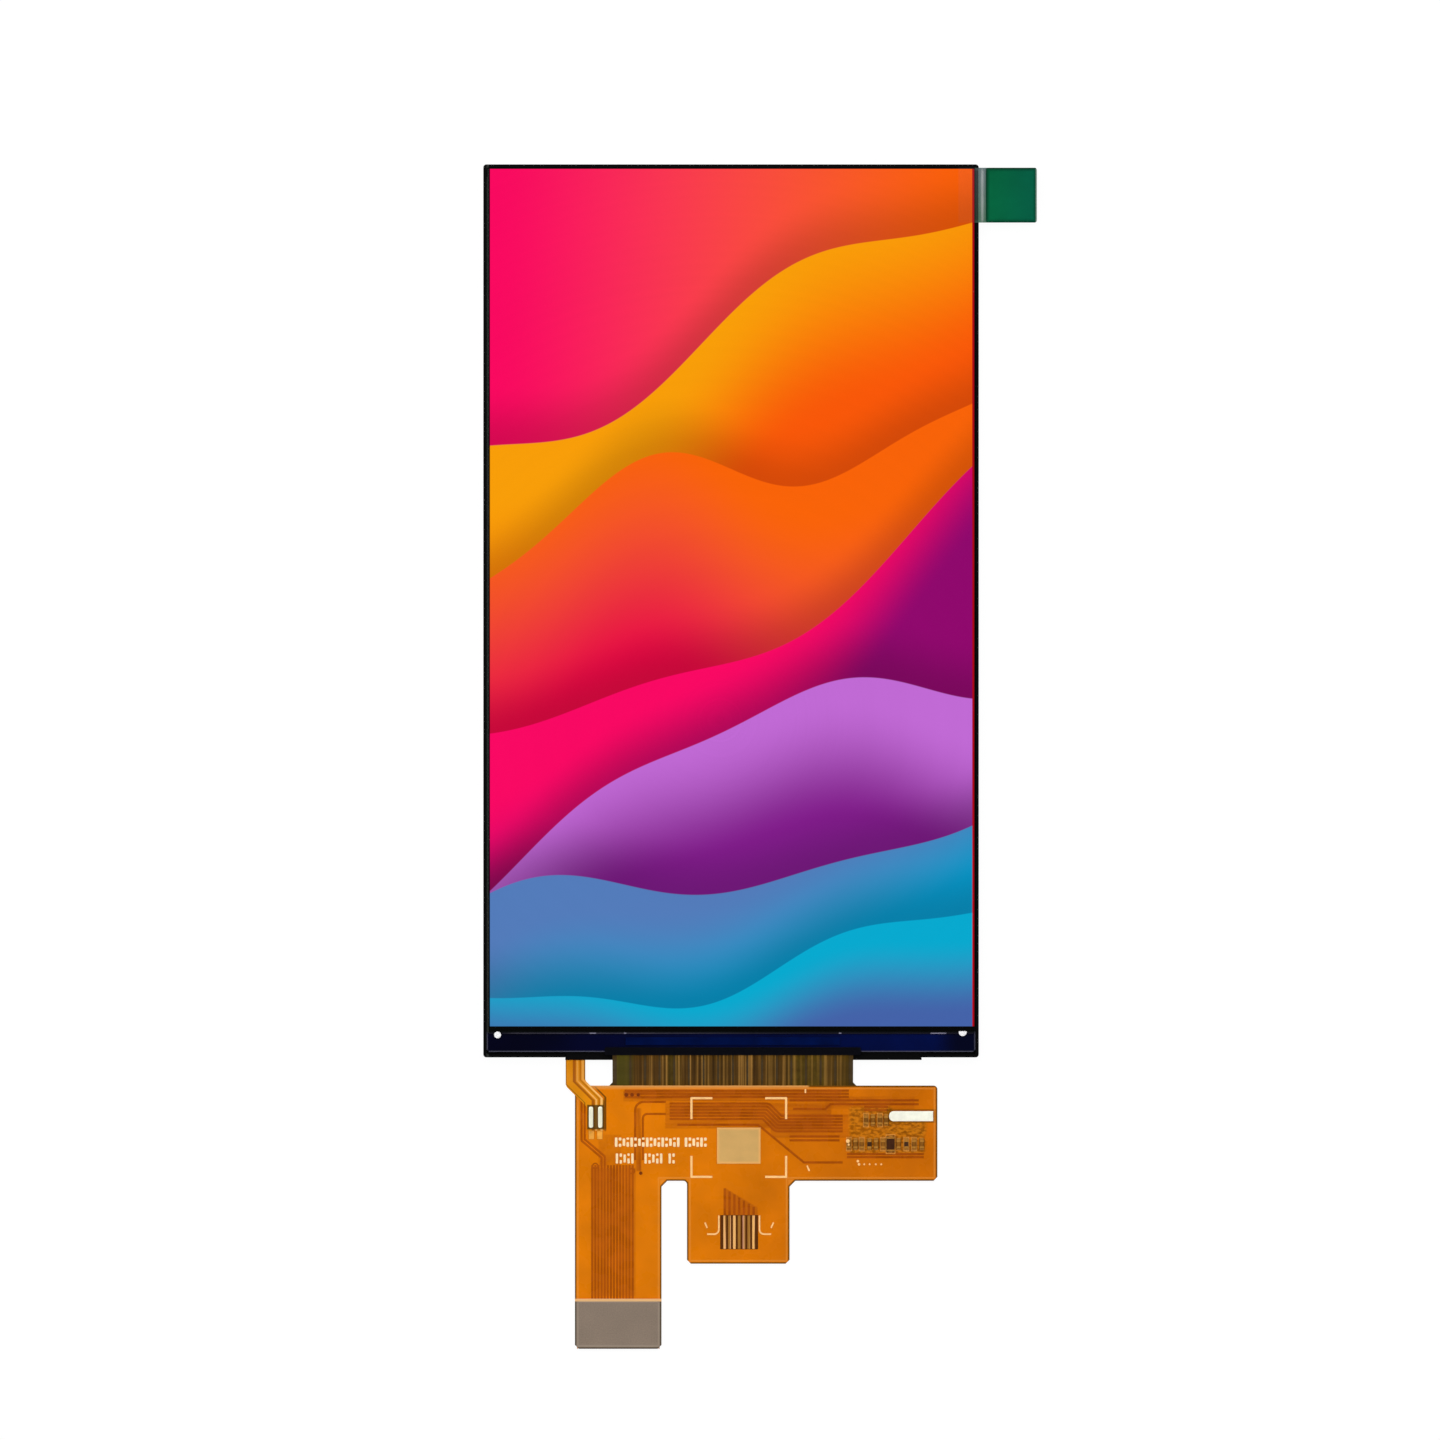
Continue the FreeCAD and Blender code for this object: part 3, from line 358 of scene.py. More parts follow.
# %% [markdown]
# The picture fills the active area of the panel. The rest of the front polarizer is black, because the
# backlight is masked there, and a painted highlight makes it greyer along the left border. A thin line of red
# light leaks along the picture's right edge. All the light goes to the emission colour, so the picture keeps
# its colours whatever light falls on the module.

# %% The front polarizer and its picture
PICTURE_X = 31.05
PICTURE_TOP = 56.9
PICTURE_BOTTOM = -53.5
LEAK_WIDTH = 0.25
BORDER_GREY = 31.2
GREY_FADE = 0.03
NO_LIGHT = colour(0, 0, 0)
DEEP_BLACK = colour(0.001, 0.001, 0.001)
# painted highlight grey, along the module's left border
LEFT_EDGE_HIGHLIGHT = colour(0.025, 0.028, 0.025)
WAVES = [
    dict(Crest=colour(1.0, 0.36, 0.0), Deep=colour(1.0, 0.10, 0.0),
         Level=36.0, Tilt=0.35, Swing=6.0, Length=90.0, Phase=0.2, Fade=24.0, Lean=0.2),
    dict(Crest=colour(1.0, 0.13, 0.0), Deep=colour(0.85, 0.0, 0.06),
         Level=17.0, Tilt=0.45, Swing=6.5, Length=76.0, Phase=2.9, Fade=30.0, Lean=-0.3),
    dict(Crest=colour(1.0, 0.0, 0.13), Deep=colour(0.29, 0.0, 0.16),
         Level=-1.0, Tilt=0.5, Swing=6.0, Length=98.0, Phase=4.7, Fade=17.0, Lean=0.25),
    dict(Crest=colour(0.56, 0.15, 0.70), Deep=colour(0.23, 0.01, 0.27),
         Level=-19.0, Tilt=0.4, Swing=5.5, Length=84.0, Phase=1.5, Fade=16.0, Lean=-0.15),
    dict(Crest=colour(0.09, 0.21, 0.52), Deep=colour(0.0, 0.32, 0.60),
         Level=-33.0, Tilt=0.3, Swing=5.0, Length=92.0, Phase=3.6, Fade=13.0, Lean=0.2),
    dict(Crest=colour(0.0, 0.42, 0.66), Deep=colour(0.06, 0.13, 0.42),
         Level=-46.0, Tilt=0.15, Swing=3.5, Length=70.0, Phase=5.4, Fade=10.0, Lean=-0.1),
]


def make_picture():
    """The polarizer's finish: black and glossy, with the picture's light inside the active area."""
    made, tree, sockets = new_finish("lit_picture", DEEP_BLACK, 0.12, shine=0.25, Emission_Strength=1.0)
    spot, x, y, _ = place(tree)
    across = step(tree, -PICTURE_X, PICTURE_X, x)
    light = blend(tree, across, colour(1.0, 0.0, 0.12), colour(1.0, 0.12, 0.0))
    for values in WAVES:
        light = use(tree, wave, Place=spot, Behind=light, **values)
    light = blend(tree, band(tree, x, -PICTURE_X, PICTURE_X), NO_LIGHT, light)
    light = blend(tree, band(tree, x, PICTURE_X, PICTURE_X + LEAK_WIDTH), light, colour(0.42, 0.0, 0.006))
    light = blend(tree, band(tree, y, PICTURE_BOTTOM, PICTURE_TOP), NO_LIGHT, light)
    tree.links.new(light, sockets["Emission Color"])
    # painted highlight: a grey strip along the polarizer's left border
    outer = step(tree, -BORDER_GREY, -BORDER_GREY - GREY_FADE, x)
    tree.links.new(blend(tree, outer, DEEP_BLACK, LEFT_EDGE_HIGHLIGHT), sockets["Base Color"])
    return made


coat_solids(make_picture(), "front_polarizer")
print(len(WAVES), "waves in the picture")

# %% [markdown]
# ## The cell
#
# Both glasses are 0.2 mm thin and look black or navy, because the black frame and polarizers lie behind them.
# Clear glass with true refraction would show that too, at the price of noise. A dark glossy surface gives the
# same look: the ledge glass runs from near black on the left to navy, turns dark again at its right end, and
# its edge catches a thin grey line, which is a painted highlight.

# %% The glasses, the chip on the ledge and the rear polarizer
GLASS_EDGE = 0.2
LEDGE_NAVY_X = 12.0
LEDGE_DARK_START, LEDGE_DARK_FULL = 6.0, 2.0
GREY_BELOW_TOP = 1.0
GLINT_START, GLINT_FULL = 2.0, 4.0
GLINT_RIGHT, GLINT_LEFT = 12.0, -14.0
# places on the front glass's cut edge where painted glints mark chips
CHIP_GLINT_SPANS = ((-18.3, -17.5), (-13.9, -13.6), (13.8, 14.1), (25.6, 27.6))


def make_ledge_glass():
    """The rear glass. Only its ledge shows, navy, with a grey line along its edge that is a painted highlight.
    """
    made, tree, sockets = new_finish("ledge_glass", colour(0.0006, 0.003, 0.03), 0.05, IOR=1.52)
    spot, x, y, _ = place(tree)
    low, high = box_mm("tft_glass")
    navy = step(tree, low.x, LEDGE_NAVY_X, x)
    tone = blend(tree, navy, colour(0.0008, 0.0008, 0.009), colour(0.0004, 0.0034, 0.047))
    tone = mottled(tree, spot, tone, 0.12, 0.35)
    dark_end = step(tree, high.x - LEDGE_DARK_START, high.x - LEDGE_DARK_FULL, x)
    tone = blend(tree, dark_end, tone, colour(0.0008, 0.0016, 0.013))
    # painted highlight: a thin grey line along the left, right and lower edges
    left = step(tree, low.x + GLASS_EDGE, low.x, x)
    right = step(tree, high.x - GLASS_EDGE, high.x, x)
    foot = step(tree, low.y + GLASS_EDGE, low.y, y)
    edge = largest(tree, left, right, foot)
    tree.links.new(blend(tree, edge, tone, colour(0.075, 0.075, 0.11)), sockets["Base Color"])
    return made


def make_border_glass():
    """The front glass: a narrow dark border, with a painted purple-grey highlight along its cut edge and
    painted glints where it is chipped.
    """
    made, tree, sockets = new_finish("border_glass", colour(0.009, 0.009, 0.010), 0.08, IOR=1.52)
    spot, x, y, _ = place(tree)
    low, high = box_mm("color_filter_glass")
    tone = mottled(tree, spot, colour(0.004, 0.005, 0.006), 0.2, 0.3)
    # painted highlight: the left border greyed, down to a millimetre below the top
    left = step(tree, -BORDER_GREY, -BORDER_GREY - GREY_FADE, x)
    below_top = step(tree, high.y - GREY_BELOW_TOP, high.y - GREY_BELOW_TOP - 0.3, y)
    tone = blend(tree, left, tone, LEFT_EDGE_HIGHLIGHT, share=below_top)
    # painted highlight along the cut edge, brighter in noisy glints and at the chipped places
    edge = step(tree, low.y + GLASS_EDGE, low.y + GLASS_EDGE / 2, y)
    glint = scaled_to(tree, 0.1, 0.9, noise(tree, squeezed(tree, spot, 0.22, 0.0, 0.0), 1.0))
    glint = calc(tree, "MULTIPLY", glint, step(tree, GLINT_RIGHT, GLINT_LEFT, x))
    glint = calc(tree, "MULTIPLY", glint, step(tree, low.x + GLINT_START, low.x + GLINT_FULL, x))
    tone = blend(tree, edge, tone, colour(0.010, 0.009, 0.016))
    tone = blend(tree, edge, tone, colour(0.062, 0.056, 0.080), share=glint)
    chipped = largest(tree, *[band(tree, x, start, stop, 0.2) for start, stop in CHIP_GLINT_SPANS])
    tone = blend(tree, edge, tone, colour(0.20, 0.19, 0.26), share=chipped)
    tree.links.new(tone, sockets["Base Color"])
    return made


def make_silicon():
    """The bare back of the driver chip: ground silicon with fine lines along it."""
    made, tree, sockets = new_finish("ground_silicon", colour(0.0, 0.004, 0.042), 0.2, shine=0.12)
    spot = place(tree)[0]
    lines = noise(tree, squeezed(tree, spot, 0.5, 14.0, 1.0), 2.0)
    tree.links.new(scaled_to(tree, 0.14, 0.32, lines), sockets["Roughness"])
    tree.links.new(mottled(tree, spot, colour(0.0, 0.004, 0.044), 0.4, 0.3), sockets["Base Color"])
    return made


rear_film = simple_finish("rear_film", colour(0.02, 0.02, 0.024), 0.25, uneven=(0.6, 0.01))
coat_solids(make_ledge_glass(), "tft_glass")
coat_solids(make_border_glass(), "color_filter_glass")
coat_solids(make_silicon(), "driver_chip")
coat_solids(rear_film, "rear_polarizer")
print("ledge", round(box_mm("color_filter_glass")[0].y - box_mm("tft_glass")[0].y, 2), "mm deep")

# %% [markdown]
# The clear protective film and its tape are thin sheets that only tint what lies under them. Low alpha does
# that for any viewer: the film hardly shows over the picture, and the tape greys both the black frame and the
# white table. The tab is printed green film, darker along its rim.

# %% Film, tape and pull tab
TAB_RIM = 0.6
TAB_CUT = 0.2
MODULE_EDGE = box_mm("mid_frame")[1].x
TAPE_OVER_PICTURE = 0.03
TAPE_OVER_FRAME = 0.11
# strength of the painted highlights at the tape's two ends
TAPE_END_HIGHLIGHT = 0.12
STREAK_CLEARS = -0.33


def depth_inside(tree, low, high, x, y):
    """How far a point lies inside a rectangle: the distance to its nearest side, negative outside."""
    from_x = calc(tree, "MINIMUM", calc(tree, "SUBTRACT", x, low[0]), calc(tree, "SUBTRACT", high[0], x))
    from_y = calc(tree, "MINIMUM", calc(tree, "SUBTRACT", y, low[1]), calc(tree, "SUBTRACT", high[1], y))
    return calc(tree, "MINIMUM", from_x, from_y)


def rim_mask(tree, name, width, x, y):
    """1 along the outline of a rectangular solid, fading to 0 that far inside."""
    return step(tree, width, 0.0, depth_inside(tree, *box_mm(name), x, y))


def make_tape():
    """The clear tape of the tab. It hardly shows where it sticks to the film, and clouds over beyond it. Its
    two ends over the frame carry painted highlights.
    """
    made, tree, sockets = new_finish("clear_tape", colour(0.13, 0.19, 0.17), 0.22, shine=0.15, Alpha=0.6)
    spot, x, y, _ = place(tree)
    low, high = box_mm("tab_tape")
    over_frame = step(tree, PICTURE_X + LEAK_WIDTH, PICTURE_X + 2 * LEAK_WIDTH, x)
    over_table = step(tree, MODULE_EDGE - 0.1, MODULE_EDGE, x)
    cloud = scaled_to(tree, 0.62, 0.86, noise(tree, spot, 0.35, 3.0))
    streak = band(tree, x, MODULE_EDGE + 0.15, MODULE_EDGE + 0.5, 0.25)
    # painted highlights: lighter lines at the tape's top and bottom ends, over the frame
    top_end_highlight = step(tree, high.y - 0.5, high.y - 0.2, y)
    ends = calc(tree, "MAXIMUM", top_end_highlight, step(tree, low.y + 0.4, low.y + 0.1, y))
    ends = calc(tree, "MULTIPLY", ends, over_frame)
    strength = calc(tree, "MULTIPLY_ADD", over_frame, TAPE_OVER_FRAME, TAPE_OVER_PICTURE)
    strength = calc(tree, "MULTIPLY_ADD", over_table, cloud, strength)
    strength = calc(tree, "MULTIPLY_ADD", streak, STREAK_CLEARS, strength)
    strength = calc(tree, "MULTIPLY_ADD", ends, TAPE_END_HIGHLIGHT, strength)
    tree.links.new(strength, sockets["Alpha"])
    tone = blend(tree, step(tree, high.y, low.y, y), colour(0.13, 0.18, 0.18), colour(0.08, 0.16, 0.11))
    tree.links.new(tone, sockets["Base Color"])
    add_skin(tree, sockets, spot, 0.8, 0.02)
    return made


def make_tab():
    """Green film, darker at its rim, with a satin face and a pale cut at its free end."""
    made, tree, sockets = new_finish("tab_film", colour(0.0, 0.1, 0.048), 0.38, shine=0.06)
    spot, x, y, _ = place(tree)
    low, high = box_mm("pull_tab")
    tone = blend(tree, step(tree, low.x, high.x, x), colour(0.0, 0.118, 0.044), colour(0.0, 0.098, 0.050))
    tone = mottled(tree, spot, tone, 0.25, 0.12)
    tone = blend(tree, rim_mask(tree, "pull_tab", TAB_RIM, x, y), tone, colour(0.0, 0.030, 0.014), share=0.9)
    cut = step(tree, high.x - TAB_CUT, high.x - TAB_CUT / 2, x)
    tone = blend(tree, cut, tone, colour(0.28, 0.38, 0.32), share=0.7)
    tree.links.new(tone, sockets["Base Color"])
    add_skin(tree, sockets, spot, 0.7, 0.02)
    return made


clear_film = simple_finish("clear_film", colour(0.03, 0.033, 0.033), 0.1, uneven=(0.08, 0.02), Alpha=0.04)
coat_solids(clear_film, "protective_film")
coat_solids(make_tape(), "tab_tape")
coat_solids(make_tab(), "pull_tab")
print("tab", size_mm("pull_tab"), "mm")

# %% [markdown]
# ## Frame, tray and tapes
#
# The frame is black polycarbonate from a finely eroded mould, so it is matt with a tiny grain. The inner lip
# of its left wall is painted a little grey, as a highlight. The tray is thin rolled steel: its roughness varies
# in long lines along the rolling direction, which is what makes sheet metal look like metal. The tapes are
# satin black, and the sealant was run along the bond as a liquid, so it is smooth with slow waves.

# %% Black plastic, steel, tape and sealant
FRAME_LIP = 31.55
LIP_WIDTH = 0.3


def make_black_plastic():
    """Moulded black plastic with a fine eroded grain and a painted highlight along its left lip."""
    made, tree, sockets = new_finish("black_plastic", colour(0.002, 0.002, 0.002), 0.5, shine=0.05)
    spot, x, _, _ = place(tree)
    # painted highlight: a grey band along the left wall's inner lip
    lit_lip = band(tree, x, -FRAME_LIP, -FRAME_LIP + LIP_WIDTH, 0.1)
    tree.links.new(blend(tree, lit_lip, DEEP_BLACK, colour(0.02, 0.022, 0.02)), sockets["Base Color"])
    tree.links.new(scaled_to(tree, 0.42, 0.62, noise(tree, spot, 0.4)), sockets["Roughness"])
    add_skin(tree, sockets, spot, 9.0, 0.006)
    return made


def make_steel():
    """Rolled steel sheet, with lines along the module and faint clouds from handling."""
    made, tree, sockets = new_finish("rolled_steel", colour(0.56, 0.57, 0.58), 0.32, Metallic=1.0)
    spot = place(tree)[0]
    lines = noise(tree, squeezed(tree, spot, 9.0, 0.06, 9.0), 1.0, 4.0)
    clouds = noise(tree, spot, 0.05, 4.0)
    rough = calc(tree, "ADD", scaled_to(tree, 0.22, 0.40, lines), scaled_to(tree, -0.06, 0.10, clouds))
    tree.links.new(rough, sockets["Roughness"])
    tree.links.new(mottled(tree, spot, colour(0.56, 0.57, 0.585), 0.06, 0.12), sockets["Base Color"])
    tree.links.new(bump(tree, lines, 0.004), sockets["Normal"])
    return made


black_tape = simple_finish("black_tape", DEEP_BLACK, 0.42, uneven=(1.5, 0.02), shine=0.07)
sealant = simple_finish("sealant", colour(0.001, 0.001, 0.003), 0.3, uneven=(0.9, 0.08), shine=0.15)
coat_solids(make_black_plastic(), "mid_frame")
coat_solids(make_steel(), "back_plate")
coat_solids(black_tape, "shade_tape", "rim_tape")
coat_solids(sealant, "bond_sealant")
print("frame", size_mm("mid_frame"), "mm")

# %% [markdown]
# ## Inside the backlight
#
# These pieces can't be seen when the module is closed, but the model can be taken apart. The reflector is
# white film with a pearly sheen, the guide clear plastic with a pattern of dots that lets the light out, the
# films milky. Each lamp is white with a yellow window.

# %% Reflector, light guide, films and lamps
DOT_PITCH = 0.8
LAMP_WINDOW_FACE = 0.12


def make_guide():
    """The clear light guide with its pattern of dots."""
    made, tree, sockets = new_finish("light_guide", colour(0.86, 0.92, 0.95), 0.12, Alpha=0.55)
    cell = {"Vector": place(tree)[0], "Scale": 1 / DOT_PITCH, "Randomness": 0.0}
    dots = step(tree, 0.28, 0.2, add_node(tree, "ShaderNodeTexVoronoi", cell).outputs["Distance"])
    tone = blend(tree, dots, colour(0.80, 0.88, 0.92), colour(0.95, 0.96, 0.97))
    tree.links.new(tone, sockets["Base Color"])
    tree.links.new(scaled_to(tree, 0.08, 0.6, dots), sockets["Roughness"])
    return made


def make_milky_film():
    """Diffuser and prism films: milky, with fine ridges across."""
    made, tree, sockets = new_finish("milky_film", colour(0.86, 0.87, 0.88), 0.4, Alpha=0.8)
    ridges = noise(tree, squeezed(tree, place(tree)[0], 0.2, 12.0, 0.2), 1.0)
    tree.links.new(bump(tree, ridges, 0.01), sockets["Normal"])
    return made


def make_lamp():
    """A white lamp body whose front, which looks into the light guide, is a yellow window."""
    made, tree, sockets = new_finish("lamp", colour(0.9, 0.9, 0.88), 0.35)
    front = box_mm("led_01")[1].y
    window = step(tree, front - LAMP_WINDOW_FACE, front, place(tree)[2])
    tone = blend(tree, window, colour(0.9, 0.9, 0.88), colour(0.85, 0.68, 0.12))
    tree.links.new(tone, sockets["Base Color"])
    return made


reflector = simple_finish("reflector", colour(0.88, 0.89, 0.9), 0.28, uneven=(0.3, 0.01))
coat_solids(reflector, "reflector_film")
coat_solids(make_guide(), "light_guide_plate")
coat_solids(make_milky_film(), "diffuser_film", "lower_prism_film", "upper_prism_film")
coat_solids(make_lamp(), *named_like("led"))
print(len(named_like("led")), "lamps")

# %% [markdown]
# ## The flexible circuit
#
# The circuit is what the eye goes to under the picture. Its amber coverlay is painted brighter on the left and
# browner on the right, a painted fall of light, and it stands up over each copper track by a hundredth of a
# millimetre. There the copper shows through it as brown. The solids hold those ridges, so height alone tells
# the finish where a track runs. The film's cut edge is painted dark, for its side wall and the shade beside
# it, with a painted highlight just inside it. The outline is three rectangles that overlap, and three small
# triangles in its inner corners, so the largest of a point's depths inside them is its depth inside the
# circuit, and both lines follow from that one number.

# %% How deep a point lies inside the circuit
BODY_LOW, BODY_HIGH = box_mm("front_coverlay")
TAIL_RIGHT = box_mm("contact_stiffener")[1].x
WING_BOTTOM = -73.43
TONGUE_LEFT, TONGUE_RIGHT, TONGUE_BOTTOM = -5.67, 7.54, -84.11
INNER_CORNERS = [(TAIL_RIGHT, 1, 0.75), (TONGUE_LEFT, -1, 0.3), (TONGUE_RIGHT, 1, 0.75)]
# widths of the painted shade along the cut edge and of the painted highlight inside it
CUT_EDGE = 0.24
LIT_EDGE = 0.44


def inside_corner(tree, x, y, corner_x, side, size):
    """How far a point lies inside the triangle that fills one inner corner, on that side of its x."""
    out = calc(tree, "MULTIPLY", calc(tree, "SUBTRACT", x, corner_x), side)
    down = calc(tree, "SUBTRACT", WING_BOTTOM, y)
    to_slant = calc(tree, "SUBTRACT", size, calc(tree, "ADD", out, down))
    slant = calc(tree, "MULTIPLY", to_slant, math.sqrt(0.5))
    nearest = calc(tree, "MINIMUM", calc(tree, "ADD", out, LIT_EDGE), calc(tree, "ADD", down, LIT_EDGE))
    return calc(tree, "MINIMUM", slant, nearest)


def inside_circuit(tree, x, y):
    """How far a point lies inside the circuit's outline: its tail, tongue and body, and its inner corners."""
    tail = depth_inside(tree, (BODY_LOW.x, BODY_LOW.y), (TAIL_RIGHT, BODY_HIGH.y), x, y)
    tongue = depth_inside(tree, (TONGUE_LEFT, TONGUE_BOTTOM), (TONGUE_RIGHT, BODY_HIGH.y), x, y)
    body = depth_inside(tree, (BODY_LOW.x, WING_BOTTOM), (BODY_HIGH.x, BODY_HIGH.y), x, y)
    corners = [inside_corner(tree, x, y, *corner) for corner in INNER_CORNERS]
    return largest(tree, tail, tongue, body, *corners)


def lit_inside(tree, depth):
    """1 along the lit line, just inside a cut edge."""
    return band(tree, depth, CUT_EDGE, LIT_EDGE, 0.08)


print("coverlay reaches from", round(BODY_LOW.x, 2), "to", round(BODY_HIGH.x, 2), "mm")

# %% [markdown]
# The backlight's lead lies on the circuit's left corner. It runs down, steps aside at 45 degrees and runs
# down again. Its tracks, its edges and the shadow beside it all follow the same stepped line, so one group
# works out how far a point lies from that line: the line's x grows with the fall below the turn, up to the
# size of the step.

# %% The stepped line of the lead
LEAD_LEFT = -21.30
LEAD_WIDTH = 2.52
LEAD_TURN = -60.95
LEAD_TURN_RISE = 0.69
LEAD_STEP = 2.43


def make_stepped_line():
    """1 on a line that runs down, steps aside at 45 degrees and runs on down, Half Width to each side."""
    inputs = [
        ("X", "Float", 0.0),
        ("Y", "Float", 0.0),
        ("Start", "Float", 0.0),
        ("Turn", "Float", 0.0),
        ("Step", "Float", 1.0),
        ("Half Width", "Float", 0.1),
    ]
    tree, given, result = new_group("stepped_line", inputs, [("Mask", "Float")])
    fallen = calc(tree, "SUBTRACT", given["Turn"], given["Y"])
    aside = calc(tree, "MINIMUM", calc(tree, "MAXIMUM", fallen, 0.0), given["Step"])
    line = calc(tree, "ADD", given["Start"], aside)
    away = calc(tree, "ABSOLUTE", calc(tree, "SUBTRACT", given["X"], line))
    outer = calc(tree, "MULTIPLY", given["Half Width"], 1.6)
    tree.links.new(step(tree, outer, given["Half Width"], away), result["Mask"])
    return tree


def along_lead(tree, x, y, across, half_width):
    """1 on a line along the lead, that share of its width in from its left edge."""
    start = LEAD_LEFT + across * LEAD_WIDTH
    turn = LEAD_TURN + across * LEAD_TURN_RISE
    return use(tree, stepped_line, X=x, Y=y, Start=start, Turn=turn, Step=LEAD_STEP, Half_Width=half_width)


stepped_line = make_stepped_line()
print("lead", LEAD_WIDTH, "mm wide")

# %% [markdown]
# Between and beside the tracks the real film isn't clean amber: etched copper, flux and glue cloud it with
# brown. Each cloud is a soft-edged box on the film, filled with streaks that run along the tracks there. The
# ground round the chips is more olive and patchy, and a painted shadow darkens it close to the printed white
# block. A dark line on the film hugs the lead's tongue, where the tongue stands clear of it and throws its
# shade: a painted shadow. The film's top edge has a painted highlight as far as the bend's middle, and is dark
# beyond.

# %% Coverlay
RIDGE_START = 0.325
RIDGE_FULL = 0.334
CLOUD_SOFT = 0.25
CLOUD_BROWN = colour(0.40, 0.082, 0.002)
CLOUDS = [
    dict(x=(-14.0, 14.0), y=(-63.3, -62.0), share=0.75, streaks=(0.12, 2.4)),
    dict(x=(-8.6, 12.8), y=(-66.8, -63.5), share=0.55, streaks=(0.12, 2.0)),
    dict(x=(12.0, 23.5), y=(-64.3, -62.7), share=0.55, streaks=(0.3, 1.6)),
    dict(x=(5.0, 15.0), y=(-68.0, -65.0), share=0.5, streaks=(0.1, 1.6)),
    dict(x=(-12.4, -11.7), y=(-72.3, -64.2), share=0.8, streaks=(1.5, 0.1)),
    dict(x=(-18.2, -12.4), y=(-88.4, -71.9), share=0.35, streaks=(1.8, 0.05)),
    dict(x=(-17.2, -14.3), y=(-71.6, -67.6), share=0.35, streaks=(1.2, 0.8)),
]
PART_GROUNDS = [
    ((14.9, 20.4), (-67.2, -64.3)),
    ((14.9, 24.6), (-70.3, -67.1)),
    ((19.8, 24.8), (-67.6, -66.0)),
]
FAN_LEFT, FAN_RIGHT, FAN_FALL = -0.9, 3.3, 0.6
FAN_TOP, FAN_LIMIT, FAN_BOTTOM = -74.3, -74.0, -78.2
TONGUE_END = -67.2
TONGUE_SHADE_ACROSS = 1.06
BLOCK_BOX = ((20.35, -65.7), (26.1, -64.45))
BLOCK_SHADE = 0.34
LIT_TOP_END = 9.8


def soft_box(tree, x, y, sides_x, sides_y, soft=CLOUD_SOFT):
    """1 inside a box, with soft sides."""
    return calc(tree, "MULTIPLY", band(tree, x, *sides_x, soft), band(tree, y, *sides_y, soft))


def add_clouds(tree, tone, spot, x, y):
    """Brown streaked clouds over the film, and the olive ground round the chips."""
    for cloud in CLOUDS:
        streaks = noise(tree, squeezed(tree, spot, *cloud["streaks"], 0.0), 1.0, 3.0)
        share = scaled_to(tree, -0.6 * cloud["share"], 2.2 * cloud["share"], streaks)
        share = calc(tree, "MINIMUM", calc(tree, "MAXIMUM", share, 0.0), 1.0)
        tone = blend(tree, soft_box(tree, x, y, cloud["x"], cloud["y"]), tone, CLOUD_BROWN, share=share)
    grain = noise(tree, squeezed(tree, spot, 1.2, 2.2, 0.0), 1.2, 3.0)
    ground = blend(tree, step(tree, 0.36, 0.62, grain), colour(0.24, 0.070, 0.001), colour(0.60, 0.19, 0.006))
    for sides in PART_GROUNDS:
        tone = blend(tree, soft_box(tree, x, y, *sides, 0.7), tone, ground, share=0.85)
    return tone


def fan_mask(tree, x, y):
    """The slanting field of copper above the connector's window."""
    top = calc(tree, "MULTIPLY_ADD", calc(tree, "SUBTRACT", x, FAN_LEFT), -FAN_FALL, FAN_TOP)
    below = step(tree, 0.15, -0.1, calc(tree, "SUBTRACT", y, top))
    return calc(tree, "MULTIPLY", below, soft_box(tree, x, y, (FAN_LEFT, FAN_RIGHT), (FAN_BOTTOM, FAN_LIMIT)))


def add_shades(tree, tone, x, y):
    """The painted shadows beside the lead's tongue and round the white block."""
    # painted shadow beside the lead's tongue
    by_tongue = along_lead(tree, x, y, TONGUE_SHADE_ACROSS, 0.10)
    by_tongue = calc(tree, "MULTIPLY", by_tongue, step(tree, TONGUE_END, TONGUE_END + 0.5, y))
    tone = blend(tree, by_tongue, tone, colour(0.06, 0.03, 0.003), share=0.8)
    # painted shadow round the printed white block
    by_block = step(tree, -BLOCK_SHADE, -BLOCK_SHADE / 2, depth_inside(tree, *BLOCK_BOX, x, y))
    return blend(tree, by_block, tone, colour(0.10, 0.040, 0.001), share=0.6)


def add_edges(tree, tone, x, y):
    """The painted shade along the cut edge, the painted highlight just inside it and the painted highlight on
    the top edge.
    """
    depth = inside_circuit(tree, x, y)
    tone = blend(tree, lit_inside(tree, depth), tone, colour(0.86, 0.36, 0.07), share=0.3)
    # painted shade along the cut edge
    tone = blend(tree, step(tree, CUT_EDGE, CUT_EDGE / 2, depth), tone, colour(0.10, 0.045, 0.003), share=0.9)
    # painted highlight along the top edge, as far as the bend's middle
    top_edge_highlight = step(tree, BODY_HIGH.y - LIT_EDGE, BODY_HIGH.y, y)
    top_edge_highlight = calc(tree, "MULTIPLY", top_edge_highlight, step(tree, LIT_TOP_END + 0.4, LIT_TOP_END, x))
    return blend(tree, top_edge_highlight, tone, colour(0.86, 0.38, 0.10), share=0.9)


